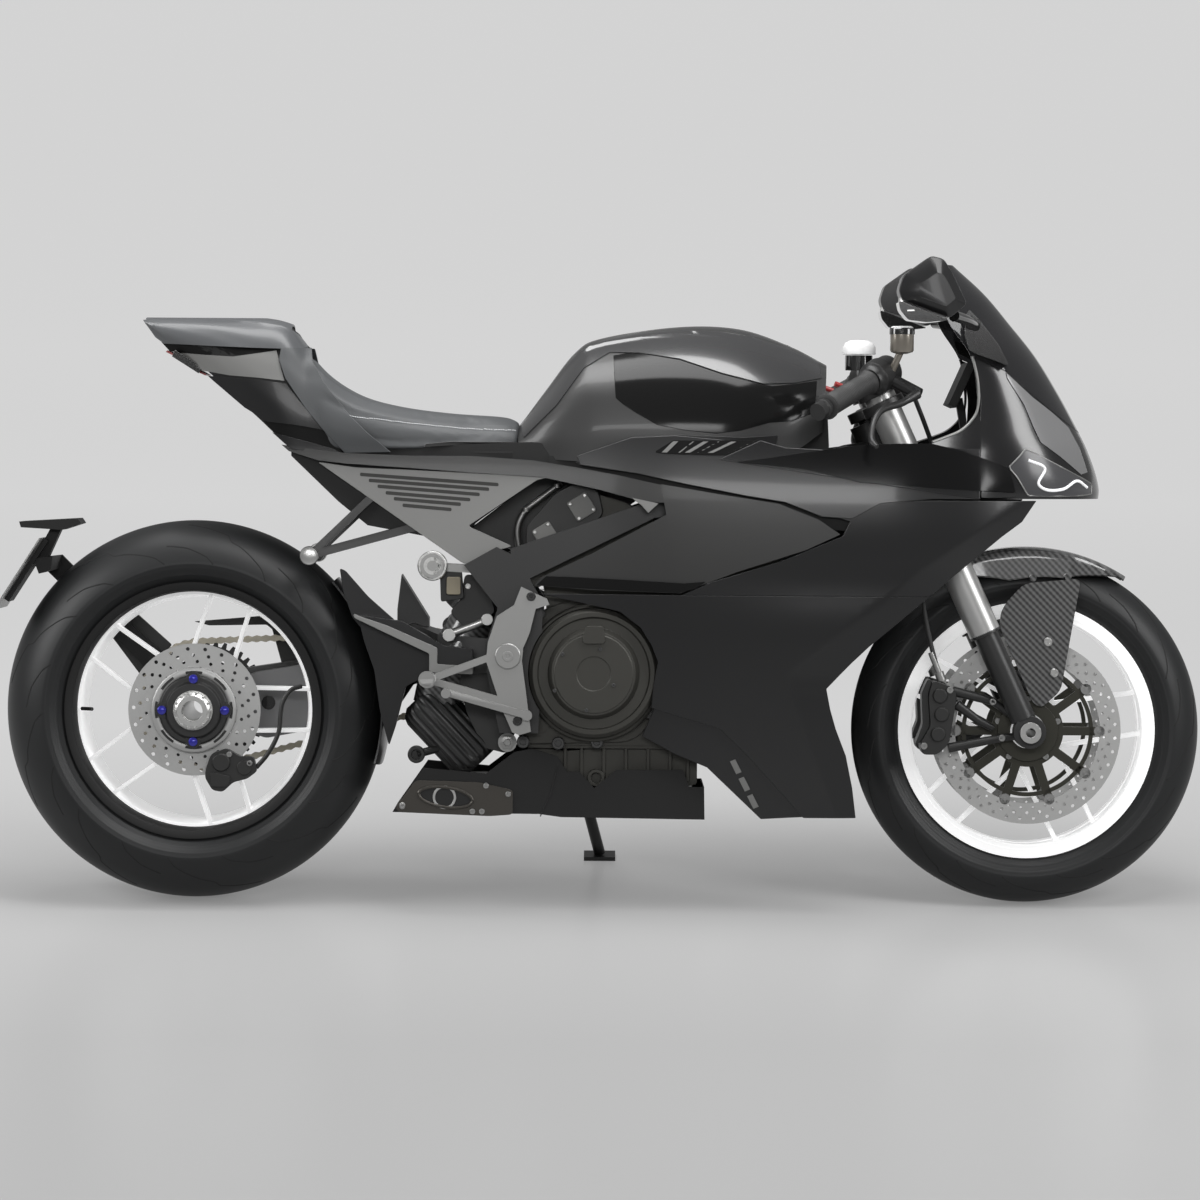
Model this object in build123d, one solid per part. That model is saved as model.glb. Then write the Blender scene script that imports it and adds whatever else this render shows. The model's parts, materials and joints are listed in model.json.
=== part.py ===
"""Sport motorcycle, modelled upright and then leaned over onto its side stand.

Bike frame, used while modelling, in millimetres: x forward (the rear axle is at 0), y to the left, z up the
middle plane from the line through the tyres' feet. park() then leans everything to the left and moves
the origin to the floor under the middle of the whole machine's box.
"""
from build123d import *
from math import atan2, cos, hypot, pi, radians, sin, sqrt, tan
import os

# ---------------------------------------------------------------- driving dimensions
LEAN = 10.0                 # degrees to the left, held by the side stand
WHEELBASE = 1434.0
RAKE = 24.5                 # degrees
FORK_OFFSET = 30.0          # steering axis to fork centre line
PIVOT = (542.0, 428.0)      # swingarm pivot
FRONT_REACH = 892.0         # from the pivot forward to the front axle
RIM_SEAT_R = 216.0          # 17 inch bead seat
FIT_GAP = 0.3               # between pieces of one body that sit on each other
RUNNING_GAP = 0.5           # around shafts that turn

REAR_TYRE_R, REAR_TYRE_HALF, REAR_CROWN_R = 326.0, 100.0, 105.0
FRONT_TYRE_R, FRONT_TYRE_HALF, FRONT_CROWN_R = 300.0, 60.0, 62.0
REAR_RIM_HALF, FRONT_RIM_HALF = 80.0, 48.0
RIM_FLANGE_R, RIM_INNER_R = RIM_SEAT_R + 5.0, RIM_SEAT_R - 16.0
TYRE_T = 9.0
RIM_LIP_T = 6.0

SPOKE_PAIRS = 5
SPOKE_T, SPOKE_DEEP = 7.0, 26.0      # width of a spoke seen from the side, and across the wheel
SPOKE_OFF_NEAR, SPOKE_OFF_FAR = 38.0, 35.5   # half the distance between a pair at the hub and at the rim
REAR_SPOKE_TURN, FRONT_SPOKE_TURN = 0.0, 8.4   # degrees, first pair above the horizontal

FRONT_DISC_R, FRONT_DISC_T, FRONT_DISC_Y = 160.0, 5.0, 66.0
REAR_DISC_R, REAR_DISC_T, REAR_DISC_Y = 114.0, 5.0, 38.0

CHAIN_PITCH, REAR_TEETH, FRONT_TEETH = 15.875, 44, 17
CHAIN_Y, CHAIN_HALF, CHAIN_PLATE_T, CHAIN_TALL = 146.0, 8.0, 3.0, 8.5
CHAIN_ROOM = 4.0
TOOTH_TIP, TOOTH_ROOT, TOOTH_HALF = 3.5, 6.5, 2.8
SPROCKET_BORE_R, SPROCKET_HOLES, SPROCKET_HOLE_AT, SPROCKET_HOLE_R = 50.0, 6, 78.0, 15.0
FRONT_SPROCKET = (620.0, 425.0)

SPINDLE_R, SPINDLE_BORE_R, SPINDLE_Y0, SPINDLE_Y1 = 34.0, 17.0, -78.0, 168.0
ARM_HUB_R, ARM_HUB_Y0, ARM_HUB_Y1 = 72.0, 50.0, 132.0
AXLE_R, AXLE_BORE_R, AXLE_HALF = 12.5, 8.0, 132.0
STEM_R, STEM_BORE_R = 17.0, 9.0
HEAD_LOW, HEAD_HIGH = 462.0, 596.0      # head tube ends, measured up the stem
LOWER_YOKE, UPPER_YOKE = (424.0, 456.0), (602.0, 620.0)
FORK_TOP, FORK_SLEEVE_FOOT, FORK_LEG_TOP = 664.0, 186.0, 300.0

FORK_HALF = 105.0           # half the distance between the fork tubes
FORK_OUTER_R, FORK_INNER_R = 27.5, 21.5
PANEL_T = 4.0


def axle_height(tyre_r, crown_r):
    """Height of a wheel's centre in the bike frame so that the leaned crown just meets the floor."""
    return tyre_r + crown_r * (1 / cos(radians(LEAN)) - 1)


FRONT_AXLE_X = PIVOT[0] + FRONT_REACH
REAR_AXLE_X = FRONT_AXLE_X - WHEELBASE
REAR_AXLE_Z = axle_height(REAR_TYRE_R, REAR_CROWN_R)
FRONT_AXLE_Z = axle_height(FRONT_TYRE_R, FRONT_CROWN_R)
STEER_UP = Vector(-sin(radians(RAKE)), 0, cos(radians(RAKE)))
FORK_FOOT = Vector(FRONT_AXLE_X, 0, FRONT_AXLE_Z)
STEER_FOOT = FORK_FOOT - FORK_OFFSET * Vector(cos(radians(RAKE)), 0, sin(radians(RAKE)))


def up_fork(s, side=0.0):
    """Point on the fork centre line s above the front axle, side to the left."""
    p = FORK_FOOT + STEER_UP * s
    return Vector(p.X, side, p.Z)


def up_stem(s):
    """Point on the steering axis s above the point beside the front axle."""
    return STEER_FOOT + STEER_UP * s


# ---------------------------------------------------------------- shape helpers
def prism(points, y0, y1):
    """Side view outline (x, z) made solid from y0 to y1."""
    wire = Wire.make_polygon([Vector(x, y0, z) for x, z in points], close=True)
    return Solid.extrude(Face(wire), Vector(0, y1 - y0, 0))


def rod(p, q, r, bore=0.0):
    """Round bar or tube from p to q."""
    p, q = Vector(*p), Vector(*q)
    length = (q - p).length
    plane = Plane(origin=p, z_dir=q - p)
    bar = Solid.make_cylinder(r, length, plane)
    return bar - Solid.make_cylinder(bore, length, plane) if bore else bar


def cone(p, q, r0, r1):
    p, q = Vector(*p), Vector(*q)
    return Solid.make_cone(r0, r1, (q - p).length, Plane(origin=p, z_dir=q - p))


def block(p, q, width, height, across=(0, 1, 0)):
    """Rectangular bar from p to q; width is measured along across."""
    p, q = Vector(*p), Vector(*q)
    run = (q - p).normalized()
    w = Vector(*across)
    w = (w - run * w.dot(run)).normalized() * (width / 2)
    h = run.cross(w).normalized() * (height / 2)
    corners = [p + w + h, p + w - h, p - w - h, p - w + h]
    return Solid.extrude(Face(Wire.make_polygon(corners, close=True)), q - p)


def across_disc(x, z, r, y0, y1, bore=0.0):
    """Round boss across the bike, centred on (x, z)."""
    return rod((x, y0, z), (x, y1, z), r, bore)


def skin(rows):
    """Ruled loft through closed flat outlines, each a list of (x, y, z)."""
    wires = [Wire.make_polygon([Vector(*p) for p in row], close=True) for row in rows]
    return Solid.make_loft(wires, ruled=True)


def fused(*shapes):
    whole = shapes[0]
    for s in shapes[1:]:
        whole = whole + s
    return whole


def left_of(shape):
    """The same piece on the other side."""
    return shape.mirror(Plane.XZ)


def both(shape):
    return Compound([*shape.solids(), *left_of(shape).solids()])


def between(table, at):
    """Straight-line reading of a table of (position, value) at a position."""
    if at <= table[0][0]:
        return table[0][1]
    for (a, va), (b, vb) in zip(table, table[1:]):
        if at <= b:
            return va + (vb - va) * (at - a) / (b - a)
    return table[-1][1]


def wall_row(z, x_rear, x_front, half, thick, steps=5):
    """Level outline of a side panel of the right side: outer face then inner face."""
    xs = [x_rear + (x_front - x_rear) * i / steps for i in range(steps + 1)]
    outer = [(x, -half(x, z), z) for x in xs]
    return outer + [(x, y + thick, z) for x, y, z in reversed(outer)]


def body_loft(rows):
    """Closed body from rows (x_low, z_low, x_high, z_high, half widths from low to high)."""
    outlines = []
    for x0, z0, x1, z1, *halves in rows:
        n = len(halves) - 1
        mid = [(x0 + (x1 - x0) * i / n, z0 + (z1 - z0) * i / n) for i in range(n + 1)]
        right = [(x, -w, z) for (x, z), w in zip(mid, halves)]
        outlines.append(right + [(x, -y, z) for x, y, z in reversed(right)])
    return skin(outlines)


# ---------------------------------------------------------------- body surface
# half width of the fairing at its widest level, by x
WIDEST = [(150, 120), (400, 146), (600, 154), (700, 168), (850, 198), (1000, 218), (1150, 226), (1250, 219),
          (1350, 196), (1430, 158), (1500, 108), (1560, 50)]
SHOULDER_Z = 650.0


def fairing_half(x, z):
    """Half width of the side fairing: barrel-shaped in height about the shoulder level."""
    w = between(WIDEST, x)
    drop = (SHOULDER_Z - z) / 500.0 if z < SHOULDER_Z else (z - SHOULDER_Z) / 330.0
    return w * (1 - 0.40 * drop * drop)


# ---------------------------------------------------------------- wheels
def tyre(tyre_r, half, crown_r, rim_half):
    """Motorcycle tyre about +Y through the origin: round crown, short side walls, open towards the rim."""
    centre = tyre_r - crown_r
    shoulder = centre + sqrt(crown_r ** 2 - half ** 2)
    bead = RIM_SEAT_R + FIT_GAP
    lip_y = rim_half - RIM_LIP_T - FIT_GAP
    crown = ThreePointArc((half, shoulder), (0, tyre_r), (-half, shoulder))
    inner = ThreePointArc((half - TYRE_T, shoulder), (0, tyre_r - TYRE_T), (TYRE_T - half, shoulder))
    side = [(half, shoulder), (lip_y + 4, RIM_FLANGE_R + 6), (lip_y, RIM_FLANGE_R), (lip_y, bead),
            (lip_y - 14, bead), (lip_y - 10, bead + 16), (half - TYRE_T, shoulder)]
    left, right = Polyline(*side), Polyline(*[(-y, r) for y, r in side])
    wire = Wire([crown, *right.edges(), inner, *left.edges()])
    face = Face(wire.moved(Location(Plane(origin=(0, 0, 0), x_dir=(0, 1, 0), z_dir=(1, 0, 0)))))
    return Solid.revolve(face, 360, Axis((0, 0, 0), (0, 1, 0)))


def ring_y(profile):
    """Turns a closed (y, r) outline about the wheel's axle."""
    wire = Wire.make_polygon([Vector(0, y, r) for y, r in profile], close=True)
    return Solid.revolve(Face(wire), 360, Axis((0, 0, 0), (0, 1, 0)))


def rim(half, turn, hub_r, hub_y0, hub_y1, bore_r, spoke_y):
    """Rim barrel, hub and five pairs of blade spokes."""
    lip = half - RIM_LIP_T
    barrel = ring_y([(-half, RIM_FLANGE_R), (-lip, RIM_FLANGE_R), (-lip, RIM_SEAT_R), (-lip + 14, RIM_SEAT_R),
                     (-lip + 26, RIM_INNER_R + 8), (lip - 26, RIM_INNER_R + 8), (lip - 14, RIM_SEAT_R),
                     (lip, RIM_SEAT_R), (lip, RIM_FLANGE_R), (half, RIM_FLANGE_R), (half, RIM_INNER_R + 6),
                     (lip - 22, RIM_INNER_R), (-lip + 22, RIM_INNER_R), (-half, RIM_INNER_R + 6)])
    hub = across_disc(0, 0, hub_r, hub_y0, hub_y1, bore_r)
    spokes = []
    for pair in range(SPOKE_PAIRS):
        for sign in (1, -1):
            # (along, off) the pair's middle line, closing up slightly towards the rim
            near, far = (6.0, sign * SPOKE_OFF_NEAR), (RIM_INNER_R + 3, sign * SPOKE_OFF_FAR)
            blade = block((near[0], spoke_y, near[1]), (far[0], spoke_y, far[1]), SPOKE_DEEP, SPOKE_T)
            spokes.append(blade.rotate(Axis((0, 0, 0), (0, 1, 0)), -turn - 360.0 / SPOKE_PAIRS * pair))
    return fused(hub, *spokes, barrel)


def disc_ring(r_out, r_in, thick, y):
    return across_disc(0, 0, r_out, y - thick / 2, y + thick / 2, r_in)


def spider(r_hub, r_bore, r_out, thick, y, arms, arm_w):
    """Disc carrier: hub ring with arms out to the disc's bobbins."""
    parts = [disc_ring(r_hub, r_bore, thick, y)]
    for i in range(arms):
        arm = block((r_hub - 4, y, 0), (r_out, y, 0), thick, arm_w)
        parts.append(arm.rotate(Axis((0, 0, 0), (0, 1, 0)), 360.0 / arms * i))
    return fused(*parts)


def sprocket():
    """Rear sprocket: a toothed ring that runs in the chain's groove."""
    pitch_r = CHAIN_PITCH / (2 * sin(pi / REAR_TEETH))
    pts = []
    for i in range(REAR_TEETH):
        for share, r in ((-0.30, pitch_r - TOOTH_ROOT), (-0.16, pitch_r + TOOTH_TIP),
                         (0.16, pitch_r + TOOTH_TIP), (0.30, pitch_r - TOOTH_ROOT)):
            a = 2 * pi * (i + 0.5 + share) / REAR_TEETH
            pts.append((r * cos(a), r * sin(a)))
    plate = prism(pts, CHAIN_Y - TOOTH_HALF, CHAIN_Y + TOOTH_HALF)
    y0, y1 = CHAIN_Y - TOOTH_HALF - 1, CHAIN_Y + TOOTH_HALF + 1
    turns = [2 * pi * i / SPROCKET_HOLES for i in range(SPROCKET_HOLES)]
    windows = [across_disc(SPROCKET_HOLE_AT * cos(a), SPROCKET_HOLE_AT * sin(a), SPROCKET_HOLE_R, y0, y1)
               for a in turns]
    return plate - Compound(windows) - across_disc(0, 0, SPROCKET_BORE_R, y0, y1)


def chain_loop(offset):
    """Outline of the chain run, offset outwards from the pitch line, as (circle centres, radii) wire."""
    r1 = CHAIN_PITCH / (2 * sin(pi / REAR_TEETH)) + offset
    r2 = CHAIN_PITCH / (2 * sin(pi / FRONT_TEETH)) + offset
    (x1, z1), (x2, z2) = (REAR_AXLE_X, REAR_AXLE_Z), FRONT_SPROCKET
    reach, slope = hypot(x2 - x1, z2 - z1), atan2(z2 - z1, x2 - x1)
    spread = atan2(sqrt(reach ** 2 - (r1 - r2) ** 2), r1 - r2)

    def at(x, z, r, a):
        return Vector(x + r * cos(a), 0, z + r * sin(a))
    up, down = slope + spread, slope - spread
    a, b = at(x1, z1, r1, up), at(x2, z2, r2, up)
    c, d = at(x2, z2, r2, down), at(x1, z1, r1, down)
    return Wire([Edge.make_line(a, b), Edge.make_three_point_arc(b, at(x2, z2, r2, slope), c),
                 Edge.make_line(c, d), Edge.make_three_point_arc(d, at(x1, z1, r1, slope + pi), a)])


def loop_prism(offset, y0, y1):
    face = Face(chain_loop(offset).moved(Location((0, y0, 0))))
    return Solid.extrude(face, Vector(0, y1 - y0, 0))


def chain():
    """Closed loop of U section, open towards the sprockets."""
    y0, y1 = CHAIN_Y - CHAIN_HALF, CHAIN_Y + CHAIN_HALF
    groove = CHAIN_HALF - CHAIN_PLATE_T
    body = loop_prism(CHAIN_TALL, y0, y1) - loop_prism(-CHAIN_TALL, y0 - 1, y1 + 1)
    return body - loop_prism(TOOTH_TIP + 1.5, CHAIN_Y - groove, CHAIN_Y + groove)


# ---------------------------------------------------------------- chassis
def right_beam():
    """Box-section beam from the swingarm pivot plate up to the head tube."""
    rows = []
    # x and z of the low edge, x and z of the high edge, outer and inner distance from the middle plane
    for x0, z0, x1, z1, out, inn in ((548, 545, 545, 610, 148, 122), (790, 664, 775, 690, 148, 122),
                                     (1000, 690, 985, 745, 132, 104), (1140, 700, 1120, 790, 74, 46),
                                     (1195, 724, 1172, 800, 34, 8)):
        rows.append([(x0, -out, z0), (x1, -out, z1), (x1, -inn, z1), (x0, -inn, z0)])
    return skin(rows)


PIVOT_PLATE = [(524, 509), (505, 452), (505, 405), (528, 296), (594, 296), (600, 420), (600, 520), (582, 552),
               (565, 592), (521, 613), (466, 582)]
PLATE_OUT, PLATE_IN = 148.0, 122.0
PIVOT_R = 24.0


HEAD_R = 34.0
CROSS_TUBE, CROSS_R = (545.0, 588.0), 14.0     # rear cross tube, which also carries the shock absorber


def main_frame():
    head = rod(up_stem(HEAD_LOW), up_stem(HEAD_HIGH), HEAD_R)
    side = fused(prism(PIVOT_PLATE, -PLATE_OUT, -PLATE_IN), right_beam())
    cross = across_disc(*CROSS_TUBE, CROSS_R, -PLATE_IN - 2, PLATE_IN + 2)
    pivot = across_disc(*PIVOT, PIVOT_R, -PLATE_IN - 2, PLATE_IN + 2)
    top = across_disc(1000, 718, CROSS_R, -118, 118)
    chain_room = loop_prism(CHAIN_TALL + CHAIN_ROOM, CHAIN_Y - CHAIN_HALF - CHAIN_ROOM, 200)
    clutch_room = across_disc(*CLUTCH, CLUTCH_R + 4, -200, 0)
    whole = fused(side - clutch_room, left_of(side) - chain_room, cross, pivot, top, head)
    return whole - rod(up_stem(HEAD_LOW - 5), up_stem(HEAD_HIGH + 5), STEM_R + RUNNING_GAP)


# top x, top z, bottom x, bottom z of the light side plate before its window and slots are cut
SIDE_PLATE = [(214, 756, 216, 752), (322, 744, 322, 685), (400, 742, 400, 633), (466, 740, 466, 583),
              (521, 736, 521, 614), (603, 729, 600, 722)]
SIDE_PLATE_INSET, SIDE_PLATE_T = 14.0, 12.0
SIDE_WINDOW = [(468, 651), (604, 728), (640, 700), (521, 613)]
# slots of the side plate: z of the slot, x where it starts, x where it ends
LOUVRES = [(725, 262, 430), (714, 277, 420), (703, 292, 408), (692, 307, 398), (681, 326, 388)]


def flat_half(x, z):
    """Half width of the flat-sided frame parts, the same at every level."""
    return fairing_half(x, SHOULDER_Z)


def side_plate():
    plate = panel(SIDE_PLATE, SIDE_PLATE_INSET, SIDE_PLATE_T, mids=0, half=flat_half)
    for z, x0, x1 in LOUVRES:
        plate = plate - prism([(x0, z), (x1, z - 1), (x1 - 4, z - 6), (x0 + 8, z - 5)], -200, -50)
    plate = plate - prism(SIDE_WINDOW, -200, -50) - prism(PIVOT_PLATE, -PLATE_OUT - FIT_GAP, -PLATE_IN)
    return plate - right_beam()


ENGINE_FLOOR = 274.0
ENGINE = [(606, 300), (606, 520), (590, 600), (590, 650), (650, 716), (740, 690), (800, 655), (1000, 600),
          (1030, 500), (1010, 400), (930, 300), (880, ENGINE_FLOOR), (630, ENGINE_FLOOR)]
ENGINE_HALF = 112.0
ENGINE_LUGS = [(590, 558), (598, 310)]
COIL_COVERS = [(668, 676, 27), (612, 634, 25)]      # x, z, radius of the two covers in the window
CLUTCH, CLUTCH_R = (688.0, 399.0), 108.0
ALTERNATOR, ALTERNATOR_R = (795.0, 400.0), 84.0


def engine():
    body = prism(ENGINE, -ENGINE_HALF, ENGINE_HALF)
    lugs = [across_disc(x, z, 14, -PLATE_IN + FIT_GAP, PLATE_IN - FIT_GAP) for x, z in ENGINE_LUGS]
    shaft = across_disc(*FRONT_SPROCKET, 14, ENGINE_HALF - 2, CHAIN_Y + TOOTH_HALF)
    plates = [across_disc(x, z, r, -ENGINE_HALF - 7, -ENGINE_HALF + 1) for x, z, r in COIL_COVERS]
    return fused(body, *lugs, shaft, front_sprocket(), *plates, stand_bracket())


def clutch_cover():
    y = -ENGINE_HALF - FIT_GAP
    base = cone((CLUTCH[0], y, CLUTCH[1]), (CLUTCH[0], y - 48, CLUTCH[1]), CLUTCH_R, CLUTCH_R - 16)
    cap = across_disc(*CLUTCH, 70, y - 62, y - 46)
    filler = rod((624, y - 30, 340), (606, y - 54, 326), 14)
    return fused(base, cap, filler)


def alternator_cover():
    y = ENGINE_HALF + FIT_GAP
    base = cone((ALTERNATOR[0], y, ALTERNATOR[1]), (ALTERNATOR[0], y + 28, ALTERNATOR[1]), ALTERNATOR_R,
                ALTERNATOR_R - 14)
    return fused(base, across_disc(*ALTERNATOR, 50, y + 26, y + 36))


def front_sprocket():
    r = CHAIN_PITCH / (2 * sin(pi / FRONT_TEETH)) + TOOTH_TIP + 1.5 - FIT_GAP
    return across_disc(*FRONT_SPROCKET, r, CHAIN_Y - TOOTH_HALF, CHAIN_Y + TOOTH_HALF)


def sprocket_cover():
    """Guard over the front sprocket, carried on the crankcase ahead of it."""
    y_out = CHAIN_Y + CHAIN_HALF + 2
    wall = prism([(676, 375), (700, 375), (700, 475), (676, 475)], ENGINE_HALF + FIT_GAP, y_out + 1)
    plate = prism([(590, 372), (700, 375), (700, 475), (590, 490)], y_out, y_out + 4)
    return fused(wall, plate)


GUARD_IN, GUARD_OUT = 60.0, 128.0           # fin ahead of the tyre on the arm's back


def swingarm():
    """Single-sided arm on the left of the wheel, with its pivot tube and hub."""
    hub = across_disc(REAR_AXLE_X, REAR_AXLE_Z, ARM_HUB_R, ARM_HUB_Y0, ARM_HUB_Y1)
    rows, aft = [], REAR_AXLE_X
    # x, low z, high z, inner y, outer y
    for x, z0, z1, y0, y1 in ((aft + 20, 270, 385, 60, 132), (aft + 150, 284, 405, 84, 132),
                              (aft + 215, 288, 412, 107, 133),
                              (345, 325, 470, 107, 133), (375, 370, 476, 20, 133), (420, 389, 462, -95, 130),
                              (500, 396, 456, -104, 118), (540, 404, 452, -108, 116)):
        rows.append([(x, y0, z0), (x, y1, z0), (x, y1, z1), (x, y0, z1)])
    tube = across_disc(*PIVOT, PIVOT_R + 14, -PLATE_IN + 6, PLATE_IN - 4)
    guard = skin([[(x, GUARD_IN, z0), (x, GUARD_OUT, z0), (x, GUARD_OUT, z1), (x, GUARD_IN, z1)]
                  for x, z0, z1 in ((345, 462, 500), (352, 466, 560), (400, 462, 484))])
    whole = fused(hub, skin(rows), tube, guard)
    whole = whole - across_disc(*PIVOT, PIVOT_R + FIT_GAP, -130, 130)
    return whole - across_disc(REAR_AXLE_X, REAR_AXLE_Z, SPINDLE_R + RUNNING_GAP, 0, 200)


SHOCK_LOW, SHOCK_HIGH = (440.0, 475.0), (530.0, 572.0)
SHOCK_ROD_R, SPRING_R = 13.0, 34.0


def shock_absorber():
    """Spring unit between the arm's top and the frame's cross tube."""
    low, high = Vector(SHOCK_LOW[0], 0, SHOCK_LOW[1]), Vector(SHOCK_HIGH[0], 0, SHOCK_HIGH[1])
    run = (high - low).normalized()
    eye = across_disc(*SHOCK_LOW, SHOCK_ROD_R + 1, -18, 18)
    spring = rod(low + run * 24, low + run * 103, SPRING_R)
    body = fused(eye, spring, rod(low, high + run * 12, SHOCK_ROD_R))
    return body - across_disc(*CROSS_TUBE, CROSS_R + FIT_GAP, -60, 60)


OIL_CAN, OIL_CAN_R = (410.0, 580.0), 22.0


def oil_reservoir():
    """Round reservoir with a bright cap, on a short arm from the pivot plate."""
    (x, z), y = OIL_CAN, -112
    can = across_disc(x, z, OIL_CAN_R, y - 28, y + 26)
    arm = block((x + 10, y, z - 2), (x + 90, y, z - 6), 18, 14)
    return fused(can, arm, across_disc(x + 90, z - 6, 10, -PLATE_IN + FIT_GAP, y + 8))


CAN_HIGH, CAN_LOW, CAN_R = Vector(395, -60, 346), Vector(488, -60, 247), 46.0
CAN_RIBS, RIB_PITCH, RIB_T, RIB_TALL = 6, 18.0, 7.0, 4.0


def ribbed_can():
    """Ribbed silencer body below the rider's right foot."""
    run = (CAN_LOW - CAN_HIGH).normalized()
    can = rod(CAN_HIGH, CAN_LOW, CAN_R)
    for i in range(CAN_RIBS):
        c = CAN_HIGH + run * (RIB_PITCH * (i + 1))
        can = fused(can, rod(c, c + run * RIB_T, CAN_R + RIB_TALL))
    return can


BELLY = [(345, 158), (398, 234), (505, 225), (553, 262), (583, 268), (627, 255), (643, 229), (664, 229),
         (690, 201), (727, 232), (842, 233), (852, 204), (878, 204), (879, 148), (633, 151), (596, 156)]
BELLY_HALF = 118.0
OUTLET, OUTLET_R, OUTLET_BORE_R = (434.0, 184.0), 20.0, 16.0
BOX_T = 12.0                # exhaust box, from its outside to its inside
HEADER_R, HEADERS_AT = 22.0, (700, 780)     # exhaust headers: radius, x of each


def belly_pan():
    shell = prism(BELLY, -BELLY_HALF, BELLY_HALF)
    inside = [(352, 164), (350, 300), (880 - PANEL_T, 300), (880 - PANEL_T, 152), (634, 155), (597, 160)]
    shell = shell - prism(inside, PANEL_T - BELLY_HALF, BELLY_HALF - PANEL_T)
    return shell - across_disc(*OUTLET, OUTLET_R + 2, -BELLY_HALF - 1, -BELLY_HALF + 10)


def exhaust_box():
    """Collector box inside the belly pan with its outlet on the right."""
    low = [(362, 166), (405, 215), (505, 215), (600, 226), (640, 226), (660, 196), (860, 196), (860, 156),
           (634, 156), (597, 161)]
    y = BELLY_HALF - PANEL_T - FIT_GAP
    box = prism(low, -y, y) - prism([(380, 172), (404, 202), (600, 212), (632, 212), (650, 184), (848, 184),
                                     (848, 164), (634, 164), (597, 168)], BOX_T - y, y - BOX_T)
    pipe = across_disc(*OUTLET, OUTLET_R, -y - 8, -y + 6)
    headers = [rod((x, 0, 192), (x, 0, ENGINE_FLOOR - FIT_GAP), HEADER_R) for x in HEADERS_AT]
    return fused(box, pipe, *headers) - across_disc(*OUTLET, OUTLET_BORE_R, -y - 9, -y + BOX_T + 1)


# ---------------------------------------------------------------- bodywork
def panel(stations, inset=0.0, thick=PANEL_T, mids=2, half=fairing_half):
    """Right-hand panel between a top and a bottom edge, each station (top x, top z, bottom x, bottom z)."""
    rows = []
    for x1, z1, x0, z0 in stations:
        pts = [(x1 + (x0 - x1) * i / (mids + 1), z1 + (z0 - z1) * i / (mids + 1)) for i in range(mids + 2)]
        outer = [(x, inset - half(x, z), z) for x, z in pts]
        rows.append(outer + [(x, y + thick, z) for x, y, z in reversed(outer)])
    return skin(rows)


# level, rear x and front x of the lower side fairing, then of the part above the pod
FAIRING_LOW = [(153, 1047, 1137), (205, 1001, 1130), (261, 950, 1118), (307, 903, 1100), (341, 786, 1090),
               (376, 789, 1083), (420, 797, 1125), (448, 786, 1154), (478, 767, 1190), (505, 731, 1222),
               (521, 657, 1241), (534, 592, 1257)]
FAIRING_HIGH = [(534, 836, 1257), (556, 884, 1283), (593, 1004, 1327), (636, 1107, 1380), (661, 1119, 1415),
                (697, 1010, 1440)]


def level_wall(table):
    return skin([wall_row(z, x0, x1, fairing_half, PANEL_T) for z, x0, x1 in table])


def side_fairing():
    return fused(level_wall(FAIRING_LOW), level_wall(FAIRING_HIGH))


# top x, top z, bottom x, bottom z along the shoulder, from under the tank to the nose
SHOULDER = [(656, 770, 664, 752), (749, 802, 760, 738), (824, 806, 840, 721), (946, 795, 946, 708),
            (1010, 782, 1010, 698), (1135, 776, 1135, 698), (1257, 787, 1257, 698), (1340, 782, 1340, 698)]
# the pod's rear and front halves and the band all end on the line from the first to the second point
POD_CUT = (800, 722, 834, 537)


def on_cut(z):
    x1, z1, x0, z0 = POD_CUT
    return x1 + (x0 - x1) * (z1 - z) / (z1 - z0)


BAND = [(151, 786, 166, 773), (212, 778, 216, 757), (260, 773, 262, 752), (374, 769, 374, 745),
        (477, 769, 477, 738), (581, 762, 600, 731), (657, 750, 700, 710), (729, 737, 770, 691),
        (800, 722, on_cut(689), 689)]
POD_REAR = [(600, 563, 586, 548), (688, 605, 684, 541), (on_cut(670), 670, 834, 537)]
POD_FRONT = [POD_CUT, (895, 706, 932, 575), (999, 690, 1045, 612), (1066, 664, 1103, 639)]


def frame_cover():
    """Band along the frame that widens into the pointed pod above the engine."""
    return fused(panel(BAND, inset=4), panel(POD_REAR, inset=4), panel(POD_FRONT, inset=4))


BLADE = [(794, 346, 771, 292), (908, 311, 826, 262), (960, 262, 882, 239), (1058, 155, 975, 150)]


# ---------------------------------------------------------------- nose
# level, rear x, front x, half width at the rear edge
NOSE = [(700, 1342, 1558, 172), (716, 1342, 1559, 176), (784, 1342, 1538, 176), (829, 1342, 1515, 168),
        (878, 1342, 1488, 158)]
SCREEN_T = 3.0
SCREEN = [(878.3, 1342, 1488, 158), (945, 1324, 1446, 146), (997, 1290, 1404, 128), (1051, 1272, 1358, 98),
          (1100, 1286, 1304, 40)]
LAMP_IN, LAMP_DEEP = 24.0, 34.0     # lamp's inner end from the middle plane, depth of the lens piece
LAMP = [(1388, 754), (1423, 784), (1435, 782), (1530, 738), (1540, 712), (1492, 709), (1424, 704)]


HOOD_SHARES = (0.0, 0.35, 0.65, 0.88, 1.0)     # corners of the level outline, as shares of a quarter turn


def hood_row(z, x_rear, x_front, half, thick):
    """Level U outline, open to the rear: outer line then inner line."""
    def line(shrink):
        pts = []
        for share in HOOD_SHARES:
            a = share * pi / 2
            pts.append((x_rear + (x_front - shrink - x_rear) * sin(a), (half - shrink) * cos(a)))
        return [(x, -y, z) for x, y in pts] + [(x, y, z) for x, y in reversed(pts[:-1])]
    outer = line(0.0)
    return outer + list(reversed(line(thick))) if thick else outer


def hood(table, thick):
    return skin([hood_row(*row, thick) for row in table])


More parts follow.
